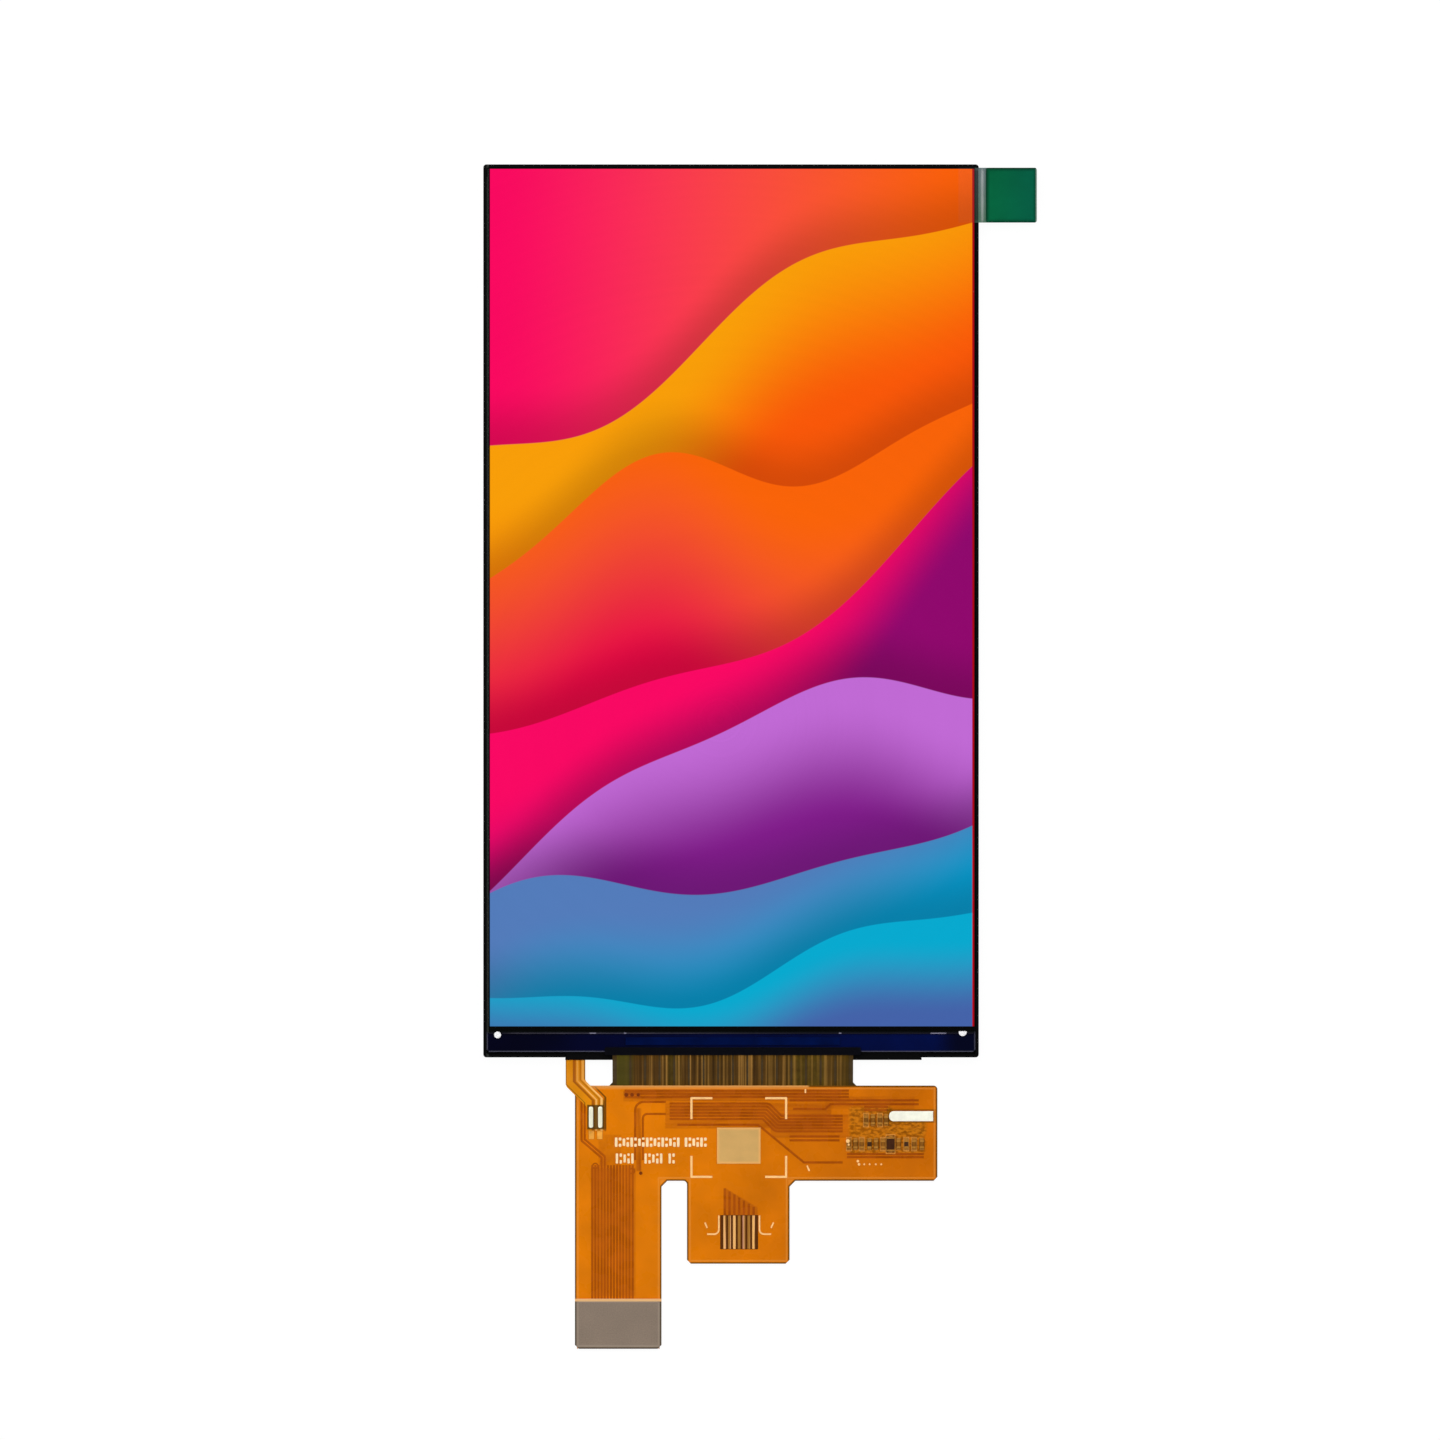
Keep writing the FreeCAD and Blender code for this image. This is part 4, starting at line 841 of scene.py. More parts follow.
def make_coverlay():
    """Amber film over copper: amber painted brighter on the left, brown over the tracks, with clouds, painted
    shadows, and painted shade and highlights at the edges.
    """
    made, tree, sockets = new_finish("amber_coverlay", colour(0.68, 0.17, 0.002), 0.28, shine=0.14)
    spot, x, y, z = place(tree)
    # painted light: the amber and the tracks are brighter on the left and darker on the right
    across = step(tree, BODY_LOW.x, BODY_HIGH.x, x)
    amber = blend(tree, across, colour(0.74, 0.195, 0.001), colour(0.60, 0.145, 0.001))
    amber = mottled(tree, spot, amber, 0.16, 0.14)
    track = blend(tree, across, colour(0.37, 0.068, 0.002), colour(0.33, 0.058, 0.002))
    track = mottled(tree, spot, track, 0.5, 0.25)
    film = add_clouds(tree, amber, spot, x, y)
    film = blend(tree, fan_mask(tree, x, y), film, colour(0.46, 0.10, 0.003), share=0.7)
    tone = blend(tree, step(tree, RIDGE_START, RIDGE_FULL, z), film, track, share=0.85)
    tone = add_shades(tree, tone, x, y)
    tree.links.new(add_edges(tree, tone, x, y), sockets["Base Color"])
    tree.links.new(scaled_to(tree, 0.2, 0.36, noise(tree, spot, 0.5)), sockets["Roughness"])
    add_skin(tree, sockets, spot, 0.6, 0.03)
    return made


coat_solids(make_coverlay(), "front_coverlay")
print(len(CLOUDS), "clouds on the film")

# %% [markdown]
# The base film carries the tracks. In the bend its underside of adhesive makes it dark olive, in the window
# of the touch connector it is dark brown, and elsewhere it is amber. The bare tracks across the bend are many
# hair-fine lines in groups, more than a solid could hold, so a noise that changes only from left to right
# draws them: broad patches for the groups, narrow ones for the lines. The left end is greener.

# %% Base film and bare tracks
FOLD_LEFT, FOLD_RIGHT = (corner.x for corner in box_mm("bend_traces"))
FINGERS = box_mm("touch_pads")
FINGER_WINDOW = 0.5
PARTS_LEFT = 13.4
GROUPS_SHARE, LINES_SHARE = 0.55, 0.85
STRIPE_TONES = [
    (0.50, colour(0.028, 0.012, 0.002)),
    (0.70, colour(0.092, 0.042, 0.006)),
    (0.92, colour(0.42, 0.21, 0.045)),
]


def make_base_film():
    """The base film: dark in the bend and in the connector's window, amber elsewhere."""
    made, tree, sockets = new_finish("base_film", colour(0.5, 0.15, 0.01), 0.36, shine=0.15)
    spot, x, y, _ = place(tree)
    amber = mottled(tree, spot, colour(0.56, 0.17, 0.008), 0.2, 0.12)
    tone = blend(tree, step(tree, PARTS_LEFT - 0.1, PARTS_LEFT, x), amber, colour(0.17, 0.065, 0.003))
    in_bend = step(tree, BODY_HIGH.y - 0.02, BODY_HIGH.y + 0.02, y)
    tone = blend(tree, in_bend, tone, colour(0.050, 0.027, 0.004))
    in_window = step(tree, -FINGER_WINDOW, -FINGER_WINDOW + 0.05, depth_inside(tree, *FINGERS, x, y))
    tree.links.new(blend(tree, in_window, tone, colour(0.095, 0.024, 0.001)), sockets["Base Color"])
    add_skin(tree, sockets, spot, 0.8, 0.02)
    return made


def tone_ramp(tree, light, stops):
    """A colour that follows a value through stops of (place, colour), which are in order."""
    made = add_node(tree, "ShaderNodeValToRGB", {"Fac": light})
    elements = made.color_ramp.elements
    elements[0].position, elements[0].color = stops[0]
    elements[1].position, elements[1].color = stops[-1]
    for position, tone in stops[1:-1]:
        elements.new(position).color = tone
    return made.outputs["Color"]


def make_bare_tracks():
    """Bare copper lines, seen as uneven stripes of brown, tan and olive."""
    made, tree, sockets = new_finish("bare_tracks", colour(0.12, 0.06, 0.01), 0.34, shine=0.04)
    spot, x, _, _ = place(tree)
    left_to_right = squeezed(tree, spot, 1.0, 0.0, 0.0)
    groups = noise(tree, left_to_right, 0.7, 1.0)
    lines = noise(tree, squeezed(tree, spot, 1.0, 0.012, 0.0), 2.6, 2.0)
    light = calc(tree, "MULTIPLY_ADD", groups, GROUPS_SHARE, calc(tree, "MULTIPLY", lines, LINES_SHARE))
    tone = tone_ramp(tree, light, STRIPE_TONES)
    olive = mottled(tree, spot, colour(0.082, 0.054, 0.004), 1.6, 0.3)
    greener = step(tree, 0.48, 0.58, noise(tree, left_to_right, 0.16, 1.0))
    tone = blend(tree, greener, tone, olive, share=0.55)
    left_end = step(tree, FOLD_LEFT + 2.4, FOLD_LEFT + 1.6, x)
    tone = blend(tree, left_end, tone, colour(0.066, 0.056, 0.007), share=0.8)
    right_end = step(tree, FOLD_RIGHT - 5.0, FOLD_RIGHT, x)
    tone = blend(tree, right_end, tone, colour(0.070, 0.044, 0.004), share=0.45)
    tree.links.new(tone, sockets["Base Color"])
    tree.links.new(bump(tree, lines, 0.02), sockets["Normal"])
    return made


copper = simple_finish("etched_copper", colour(0.45, 0.15, 0.04), 0.4, patches=(1.5, 0.2), Metallic=0.6)
coat_solids(make_base_film(), "main_fpc")
coat_solids(make_bare_tracks(), "bend_traces")
coat_solids(copper, "copper_traces")
print("bend from", round(FOLD_LEFT, 2), "to", round(FOLD_RIGHT, 2), "mm")

# %% [markdown]
# The backlight's lead is its own strip of amber film, glossier and yellower than the circuit. Between its two
# broad tracks a dark gap runs along it. The right track and the film's right edge catch the light, painted as
# highlights, and painted shade darkens its cut edge on both sides. A dark rim runs round the two soldered
# joints.

# %% Lead of the backlight
JOINT_RIM_WIDTH = 0.28
LEAD_GAP = colour(0.34, 0.075, 0.002)
# painted highlight colour of the lead's lit lines
LEAD_LIGHT = colour(0.95, 0.52, 0.15)
# painted shade colour of the lead's cut edges
LEAD_EDGE_SHADE = colour(0.15, 0.065, 0.003)
LEAD_LINES = [    # where across the lead, half width, share, colour
    (0.44, 0.15, 0.85, LEAD_GAP),
    (0.60, 0.09, 0.75, LEAD_LIGHT),
    (0.75, 0.08, 0.55, LEAD_GAP),
    (0.87, 0.11, 0.95, LEAD_LIGHT),
    (0.99, 0.08, 0.8, LEAD_EDGE_SHADE),
    (0.01, 0.06, 0.7, LEAD_EDGE_SHADE),
]


def make_lead():
    """Amber film with a dark gap along its middle, two lines of painted highlight and painted shade along its
    cut edges.
    """
    made, tree, sockets = new_finish("lead_film", colour(0.66, 0.235, 0.002), 0.3, shine=0.2)
    spot, x, y, _ = place(tree)
    tone = mottled(tree, spot, colour(0.70, 0.24, 0.002), 0.3, 0.12)
    below_turn = step(tree, LEAD_TURN + 0.6, LEAD_TURN - 0.4, y)
    for across, half_width, share, line_tone in LEAD_LINES:
        line = along_lead(tree, x, y, across, half_width)
        if line_tone == LEAD_LIGHT:
            line = calc(tree, "MULTIPLY", line, scaled_to(tree, 0.35, 1.0, below_turn))
        tone = blend(tree, line, tone, line_tone, share=share)
    # a dark rim round the two soldered joints
    dark_joint_rim = step(tree, -JOINT_RIM_WIDTH, -JOINT_RIM_WIDTH / 2, depth_inside(tree, *box_mm("solder_joints"), x, y))
    tone = blend(tree, dark_joint_rim, tone, colour(0.075, 0.035, 0.002), share=0.9)
    tree.links.new(tone, sockets["Base Color"])
    add_skin(tree, sockets, spot, 0.8, 0.02)
    return made


coat_solids(make_lead(), "led_flex")
print(len(LEAD_LINES), "lines along the lead")

# %% [markdown]
# The bare metal on the circuit is gold over nickel or tin. Seen from straight above, a mirror-like metal
# would only show the dark of the ceiling, while real plating is rough enough to look pale. So these finishes
# are part metal and fairly rough. The large pad has a paler rim, where its plating meets the coverlay.

# %% Pads, contacts and stiffeners
PAD_RIM = 0.45
TONGUE_PADS_RIGHT = -15.0
FINGER_PITCH = 0.62
FINGER_PHASE = 0.4
FINGER_SWING = 0.10


def make_pad():
    """The large pale pad, paler still at its rim."""
    gold = colour(0.67, 0.40, 0.13)
    made, tree, sockets = new_finish("pale_gold", gold, 0.45, shine=0.2, Metallic=0.1)
    spot, x, y, _ = place(tree)
    tone = mottled(tree, spot, gold, 0.35, 0.1)
    tone = blend(tree, rim_mask(tree, "ground_pad", PAD_RIM, x, y), tone, colour(0.90, 0.46, 0.13), share=0.9)
    tree.links.new(tone, sockets["Base Color"])
    add_skin(tree, sockets, spot, 3.0, 0.01)
    return made


def make_gold():
    """Gold over nickel on the contacts and fingers, each a little different from the next."""
    made, tree, sockets = new_finish("contact_gold", colour(0.68, 0.38, 0.14), 0.4, shine=0.15, Metallic=0.1)
    spot, x, _, _ = place(tree)
    shade = noise(tree, squeezed(tree, spot, 1.0, 0.03, 0.0), 1.9)
    turns = calc(tree, "MULTIPLY_ADD", x, math.pi / FINGER_PITCH, FINGER_PHASE)
    light = calc(tree, "MULTIPLY_ADD", calc(tree, "SINE", turns), FINGER_SWING, shade)
    hue = noise(tree, squeezed(tree, spot, 1.0, 0.0, 0.0), 0.9)
    bright = blend(tree, step(tree, 0.4, 0.6, hue), colour(0.95, 0.50, 0.15), colour(0.76, 0.36, 0.20))
    tone = blend(tree, step(tree, 0.40, 0.56, light), colour(0.40, 0.17, 0.025), bright)
    tree.links.new(tone, sockets["Base Color"])
    return made


def make_tin():
    """Tinned pads: pale grey, and yellower on the two pads below the lead's tongue."""
    made, tree, sockets = new_finish("tinned_pads", colour(0.36, 0.23, 0.09), 0.4, shine=0.2, Metallic=0.2)
    spot, x, _, _ = place(tree)
    by_lead = step(tree, TONGUE_PADS_RIGHT, TONGUE_PADS_RIGHT - 0.1, x)
    tone = blend(tree, by_lead, colour(0.36, 0.16, 0.03), colour(0.95, 0.42, 0.06))
    tree.links.new(mottled(tree, spot, tone, 1.5, 0.2), sockets["Base Color"])
    add_skin(tree, sockets, spot, 4.0, 0.02)
    return made


def make_grey_stiffener():
    """Grey-brown stiffener film with a fine speckle, with painted shade along its cut edge, a painted highlight
    just inside it and another along its top.
    """
    made, tree, sockets = new_finish("grey_stiffener", colour(0.24, 0.18, 0.135), 0.6, shine=0.2)
    spot, x, y, _ = place(tree)
    low, high = box_mm("contact_stiffener")
    tone = mottled(tree, spot, colour(0.238, 0.181, 0.136), 0.25, 0.07)
    tone = mottled(tree, spot, tone, 6.0, 0.12)
    depth = depth_inside(tree, low, high, x, y)
    # painted highlight inside the cut edge, then painted shade along it
    tone = blend(tree, lit_inside(tree, depth), tone, colour(0.42, 0.34, 0.26), share=0.3)
    tone = blend(tree, step(tree, CUT_EDGE, CUT_EDGE / 2, depth), tone, colour(0.06, 0.04, 0.02))
    # painted highlight along the top edge
    top_edge_highlight = step(tree, high.y - LIT_EDGE, high.y - CUT_EDGE, y)
    tree.links.new(blend(tree, top_edge_highlight, tone, colour(0.82, 0.46, 0.19)), sockets["Base Color"])
    add_skin(tree, sockets, spot, 7.0, 0.008)
    return made


def make_board():
    """Glass-epoxy board behind the chips: pale green-brown, with the weave of its cloth."""
    made, tree, sockets = new_finish("glass_epoxy", colour(0.36, 0.30, 0.13), 0.5)
    spot = place(tree)[0]
    warp = noise(tree, squeezed(tree, spot, 2.6, 0.3, 1.0), 1.0)
    weft = noise(tree, squeezed(tree, spot, 0.3, 2.6, 1.0), 1.0)
    weave = largest(tree, warp, weft)
    tone = blend(tree, weave, colour(0.28, 0.23, 0.09), colour(0.44, 0.38, 0.19))
    tree.links.new(tone, sockets["Base Color"])
    tree.links.new(bump(tree, weave, 0.01), sockets["Normal"])
    return made


coat_solids(make_pad(), "ground_pad")
coat_solids(make_gold(), "touch_pads", "tail_contacts")
coat_solids(make_tin(), "solder_pads")
coat_solids(make_grey_stiffener(), "contact_stiffener")
coat_solids(make_board(), "component_stiffener")
print("pad", size_mm("ground_pad"), "mm")

# %% [markdown]
# The chips are a millimetre long. A ceramic capacitor is tan with tinned ends, a resistor and the diode are
# dark with tinned ends. The ends are found by their distance from the middle of their row. The print on the
# coverlay is cream, and the solid block near the right edge is almost white.

# %% Chips and print
CAPACITORS = [box_mm(name) for name in named_like("capacitor")]
ROWS = sorted({round((low.y + high.y) / 2, 2) for low, high in CAPACITORS})
CHIP_END = 0.28
DIODE_END = 0.70
BLOCK_LEFT = 20.2


def make_chip_finish(name, body, end_start):
    """A chip's body colour with tinned ends, which start that far from the middle of its row."""
    made, tree, sockets = new_finish(name, body, 0.48, shine=0.12)
    spot, _, y, _ = place(tree)
    away = [calc(tree, "ABSOLUTE", calc(tree, "SUBTRACT", y, row)) for row in ROWS]
    ends = step(tree, end_start, end_start + 0.02, calc(tree, "MINIMUM", *away))
    tone = mottled(tree, spot, body, 0.9, 0.3)
    tree.links.new(blend(tree, ends, tone, colour(0.48, 0.21, 0.030)), sockets["Base Color"])
    tree.links.new(scaled_to(tree, 0.0, 0.2, ends), sockets["Metallic"])
    add_skin(tree, sockets, spot, 6.0, 0.01)
    return made


def make_print(name, ink):
    """Print in that ink, almost white where the solid block is, a little uneven."""
    made, tree, sockets = new_finish(name, ink, 0.6, shine=0.2)
    spot, x, _, _ = place(tree)
    tone = blend(tree, step(tree, BLOCK_LEFT - 0.02, BLOCK_LEFT, x), ink, colour(0.97, 0.97, 0.82))
    tree.links.new(mottled(tree, spot, tone, 1.2, 0.1), sockets["Base Color"])
    add_skin(tree, sockets, spot, 5.0, 0.01)
    return made


tan_ceramic = make_chip_finish("tan_ceramic", colour(0.25, 0.088, 0.006), CHIP_END)
black_resistor = make_chip_finish("black_resistor", colour(0.05, 0.02, 0.008), CHIP_END)
dark_diode = make_chip_finish("dark_diode", colour(0.050, 0.014, 0.003), DIODE_END)
cream_print = make_print("cream_print", colour(0.98, 0.58, 0.22))
coat_solids(tan_ceramic, *named_like("capacitor"))
coat_solids(black_resistor, *named_like("resistor"))
coat_solids(dark_diode, *named_like("diode"))
coat_solids(cream_print, "printed_marks")
print("rows of chips at y", ROWS)

# %% [markdown]
# ## Modelling the soft drops
#
# Solder and silver paste are liquids that froze: they dome up from the surface they wet. They are modelled by
# hand from primitives. The edit tools merge points closer than a tenth of a millimetre, and these drops are
# smaller than that in places, so each one is modelled a thousand times too large, in millimetres, and shrunk
# at the end.

# %% Helpers for modelling
LOOKS_UP = 0.9
SMOOTH_ANGLE = math.radians(50)


def let_go():
    """Out of edit mode, with nothing selected."""
    if bpy.context.object and bpy.context.object.mode != "OBJECT":
        bpy.ops.object.mode_set(mode="OBJECT")
    bpy.ops.object.select_all(action="DESELECT")


def start_picking(mesh):
    """Out of edit mode, with nothing of the mesh selected."""
    bpy.ops.object.mode_set(mode="OBJECT")
    for group in (mesh.vertices, mesh.edges, mesh.polygons):
        group.foreach_set("select", [False] * len(group))


def pick_top(mesh):
    """Into edit mode, with just the faces selected that look up."""
    start_picking(mesh)
    for face in mesh.polygons:
        face.select = face.normal.z > LOOKS_UP
    bpy.context.tool_settings.mesh_select_mode = (False, False, True)
    bpy.ops.object.mode_set(mode="EDIT")


def pick_edges(mesh, wanted):
    """Into edit mode, with just the edges selected whose two ends suit."""
    start_picking(mesh)
    for edge in mesh.edges:
        edge.select = wanted(*[mesh.vertices[i].co for i in edge.vertices])
    bpy.context.tool_settings.mesh_select_mode = (False, True, False)
    bpy.ops.object.mode_set(mode="EDIT")


def settle(piece):
    """Out of edit mode, with place, turn and size in the mesh."""
    let_go()
    piece.select_set(True)
    bpy.context.view_layer.objects.active = piece
    bpy.ops.object.transform_apply(location=True, rotation=True, scale=True)


def new_box(location, size):
    """A settled box with its middle at a place."""
    let_go()
    bpy.ops.mesh.primitive_cube_add(size=1, location=location)
    made = bpy.context.object
    made.scale = size
    settle(made)
    return made


def new_drum(x, y, bottom, radius, height, sides):
    """A settled upright cylinder."""
    let_go()
    middle = (x, y, bottom + height / 2)
    bpy.ops.mesh.primitive_cylinder_add(vertices=sides, radius=radius, depth=height, location=middle)
    made = bpy.context.object
    settle(made)
    return made


def shrink(piece, name, material):
    """A finished piece at its real size: named, coated and fixed to the module."""
    settle(piece)
    piece.scale = (MM, MM, MM)
    bpy.ops.object.transform_apply(location=False, rotation=False, scale=True)
    bpy.ops.object.shade_smooth_by_angle(angle=SMOOTH_ANGLE)
    piece.name = name
    piece.data.name = name
    piece.data.materials.clear()
    piece.data.materials.append(material)
    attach(piece, "root")
    print(name, len(piece.data.polygons), "faces")
    return piece


def raise_dome(centre, rise, steps):
    """Draws the selected faces up by a rise, in steps of (share of the rise, of the width, of the length)."""
    for share, share_x, share_y in steps:
        bpy.ops.mesh.extrude_region_move(TRANSFORM_OT_translate={"value": (0, 0, rise * share)})
        bpy.ops.transform.resize(value=(share_x, share_y, 1), center_override=centre)


print("modelling helpers ready")

# %% [markdown]
# Two bars of solder hold the lead's tongue. Each starts as a block as wide as the joint, its upright corners
# are bevelled round, and its top face is drawn up in three narrowing steps. A subdivision surface then melts
# the steps into one bulge. They stand where the plain bars of the solids do. Thick drops are given an almost
# white colour, their pale metal with a painted highlight, and thin ones take the circuit's colour.

# %% Solder bars
JOINT_GAP = 0.62
BAR_FOOT = 0.35
BAR_CORNER = 0.38
BAR_STEPS = [(0.45, 0.9, 0.97), (0.35, 0.75, 0.93), (0.2, 0.5, 0.88)]


def make_solder(name, tone):
    """Solder with its faintly wrinkled skin."""
    return simple_finish(name, tone, 0.3, patches=(1.2, 0.08), uneven=(3.0, 0.03), shine=0.25, Metallic=0.15)


def solder_bar(low, high):
    """One domed bar in a box."""
    size = high - low
    middle = (low + high) / 2
    foot = size.z * BAR_FOOT
    bar = new_box((middle.x, middle.y, low.z + foot / 2), (size.x, size.y, foot))
    pick_edges(bar.data, lambda first, second: abs(first.z - second.z) > foot / 2)
    bpy.ops.mesh.bevel(offset=size.x * BAR_CORNER, segments=4)
    pick_top(bar.data)
    raise_dome(middle, size.z - foot, BAR_STEPS)
    bpy.ops.object.mode_set(mode="OBJECT")
    smoother = bar.modifiers.new("melt", "SUBSURF")
    smoother.levels = smoother.render_levels = 2
    bpy.ops.object.modifier_apply(modifier=smoother.name)
    return bar


# pale solder colour with a painted highlight of its shine
bright_solder = make_solder("bright_solder", colour(0.96, 0.95, 0.74))
joints_low, joints_high = box_mm("solder_joints")
bar_width = (joints_high.x - joints_low.x - JOINT_GAP) / 2
for number, left in enumerate((joints_low.x, joints_high.x - bar_width), 1):
    low = Vector((left, joints_low.y, joints_low.z))
    high = Vector((left + bar_width, joints_high.y, joints_high.z))
    bar = shrink(solder_bar(low, high), f"solder_bar_{number}", bright_solder)
    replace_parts(bar, "solder_joints")

# %% [markdown]
# A dab of silver paste, nearly white, joins the front glass to the ledge in each corner. The left one is
# round. The right one was put on higher, and the polarizer's edge cuts it off straight, so both are made as
# full drops and bisected there, which leaves the left one whole.

# %% Silver dabs
DAB_SIDES = 32
DAB_FOOT = 0.7
DAB_STEPS = [(0.5, 0.9, 0.9), (0.3, 0.75, 0.75), (0.2, 0.5, 0.5)]
DAB_ROUNDING = 0.05
DABS = [
    dict(name="silver_dab_left", x=-30.06, y=-54.60, radius=0.45),
    dict(name="silver_dab_right", x=29.83, y=-54.22, radius=0.53),
]


def silver_dab(x, y, radius, bottom, top):
    """A round drop from bottom to top, left in edit mode."""
    foot = (top - bottom) * DAB_FOOT
    dab = new_drum(x, y, bottom, radius, foot, DAB_SIDES)
    pick_top(dab.data)
    raise_dome(Vector((x, y, 0)), top - bottom - foot, DAB_STEPS)
    bpy.ops.mesh.bevel(offset=radius * DAB_ROUNDING, segments=2)
    return dab


silver = simple_finish(
    "silver_paste", colour(0.95, 0.95, 0.96), 0.5, patches=(2.0, 0.05), uneven=(8.0, 0.02), Metallic=0.1
)
dots_low, dots_high = box_mm("silver_dots")
cut_line = (0, box_mm("front_polarizer")[0].y, 0)
for values in DABS:
    dab = silver_dab(values["x"], values["y"], values["radius"], dots_low.z, dots_high.z)
    bpy.ops.mesh.select_all(action="SELECT")
    bpy.ops.mesh.bisect(plane_co=cut_line, plane_no=(0, 1, 0), clear_outer=True, use_fill=True)
    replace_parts(shrink(dab, values["name"], silver), "silver_dots")

# %% [markdown]
# Each chip is held by a fillet of solder at both ends: a wedge that climbs the tinned end and runs out on the
# pad, hollow between. One wedge is a block whose far upper edge is bevelled with a low profile, which hollows
# it. Its copies are turned and placed by a loop, each with its own mesh, and joined.

# %% Solder fillets
FILLET_WIDTH = 0.5
FILLET_RUN = 0.30
FILLET_CLIMB = 0.18
FILLET_MARGIN = 0.02
FILLET_CUT = 0.92
FILLET_PROFILE = 0.2


def far_upper(*ends):
    """Whether an edge of the wedge is the upper one at the end of its run."""
    return all(end.z > FILLET_CLIMB / 2 and end.y < -FILLET_RUN / 2 for end in ends)


def first_fillet():
    """A hollow wedge at the origin, its high side at y = 0 and its run towards -y."""
    wedge = new_box((0, -FILLET_RUN / 2, FILLET_CLIMB / 2), (FILLET_WIDTH, FILLET_RUN, FILLET_CLIMB))
    pick_edges(wedge.data, far_upper)
    bpy.ops.mesh.bevel(offset=FILLET_CLIMB * FILLET_CUT, segments=4, profile=FILLET_PROFILE)
    bpy.ops.object.mode_set(mode="OBJECT")
    return wedge


def copy_to(piece, x, y, z, turn):
    """A copy of a settled piece with its own mesh, turned about z and moved."""
    let_go()
    copied = piece.copy()
    copied.data = piece.data.copy()
    bpy.context.scene.collection.objects.link(copied)
    copied.rotation_euler.z = turn
    copied.location = (x, y, z)
    settle(copied)
    return copied


def join(pieces):
    """Many pieces in one."""
    let_go()
    for piece in pieces:
        piece.select_set(True)
    bpy.context.view_layer.objects.active = pieces[0]
    bpy.ops.object.join()
    return bpy.context.object


chips = named_like("capacitor", "resistor", "diode")
pattern = first_fillet()
fillets = []
for name in chips:
    low, high = box_mm(name)
    x = (low.x + high.x) / 2
    fillets.append(copy_to(pattern, x, low.y + FILLET_MARGIN, low.z, 0))
    fillets.append(copy_to(pattern, x, high.y - FILLET_MARGIN, low.z, math.pi))
bpy.data.objects.remove(pattern)
thin_solder = make_solder("thin_solder", colour(0.44, 0.18, 0.020))
shrink(join(fillets), "solder_fillets", thin_solder)

# %% [markdown]
# Every other chip has a thin frame printed round it, faint enough to let the amber through. A plane the size
# of the frame is inset, its middle is deleted, and the ring that is left is drawn up by the height of the
# ink.

# %% Printed frames round the chips
FRAME_MARGIN_X = 0.12
FRAME_MARGIN_Y = 0.42
FRAME_LINE = 0.09
INK_HEIGHT = 0.03
PRINT_BASE = 0.318


def new_sheet(x, y, width, length):
    """A settled flat rectangle on the coverlay."""
    let_go()
    bpy.ops.mesh.primitive_plane_add(size=1, location=(x, y, PRINT_BASE))
    made = bpy.context.object
    made.scale = (width, length, 1)
    settle(made)
    return made


def draw_up_ink():
    """Draws a flat shape up by the height of the ink, and leaves edit mode."""
    bpy.ops.mesh.select_all(action="SELECT")
    bpy.ops.mesh.extrude_region_move(TRANSFORM_OT_translate={"value": (0, 0, INK_HEIGHT)})
    bpy.ops.mesh.select_all(action="SELECT")
    bpy.ops.mesh.normals_make_consistent(inside=False)
    bpy.ops.object.mode_set(mode="OBJECT")


def printed_frame(low, high):
    """A flat ring round one chip."""
    middle = (low + high) / 2
    size = high - low
    ring = new_sheet(middle.x, middle.y, size.x + 2 * FRAME_MARGIN_X, size.y + 2 * FRAME_MARGIN_Y)
    pick_top(ring.data)
    bpy.ops.mesh.inset(thickness=FRAME_LINE)
    bpy.ops.mesh.delete(type="FACE")
    draw_up_ink()
    return ring


faint_print = simple_finish("faint_print", colour(0.66, 0.27, 0.04), 0.5, patches=(1.5, 0.3), shine=0.2)
frames = [printed_frame(*box_mm(name)) for name in chips[::2]]
shrink(join(frames), "printed_frames", faint_print)

# %% [markdown]
# Left of the pad the print goes on in two rows of plain marks. They say nothing: each is one of a few upright
# shapes, such as a full bar, a bar with its middle left open and a pair of short bars, which follow one
# another in a fixed rhythm. A bar is a plane with bevelled corners, drawn up by the height of the ink, and
# copied.

# %% Rows of plain marks
MARK_PITCH = 0.50
MARK_CORNER = 0.3
MARK_ROWS = [
    dict(y=-68.45, tall=1.20, wide=0.34, groups=[(-14.8, 17), (-5.8, 6)]),
    dict(y=-70.55, tall=1.30, wide=0.30, groups=[(-14.7, 5), (-11.0, 5), (-7.9, 2)]),
]
MARK_SHAPES = [[(0.0, 1.0)], [(-0.33, 0.34), (0.33, 0.34)], [(0.0, 0.8)], [(-0.25, 0.5), (0.38, 0.24)]]


def printed_bar(width, length):
    """One flat bar at the origin with round corners."""
    bar = new_sheet(0, 0, width, length)
    bpy.context.tool_settings.mesh_select_mode = (True, False, False)
    bpy.ops.object.mode_set(mode="EDIT")
    bpy.ops.mesh.select_all(action="SELECT")
    bpy.ops.mesh.bevel(offset=min(width, length) * MARK_CORNER, segments=2, affect="VERTICES")
    draw_up_ink()
    return bar


marks = []
for row in MARK_ROWS:
    for kind, parts in enumerate(MARK_SHAPES):
        for offset, share in parts:
            pattern = printed_bar(row["wide"], row["tall"] * share)
            y = row["y"] + offset * row["tall"]
            for first, count in row["groups"]:
                for i in range(kind, count, len(MARK_SHAPES)):
                    marks.append(copy_to(pattern, first + i * MARK_PITCH, y, 0, 0))
            bpy.data.objects.remove(pattern)
pale_print = make_print("pale_print", colour(0.98, 0.74, 0.42))
shrink(join(marks), "printed_rows", pale_print)

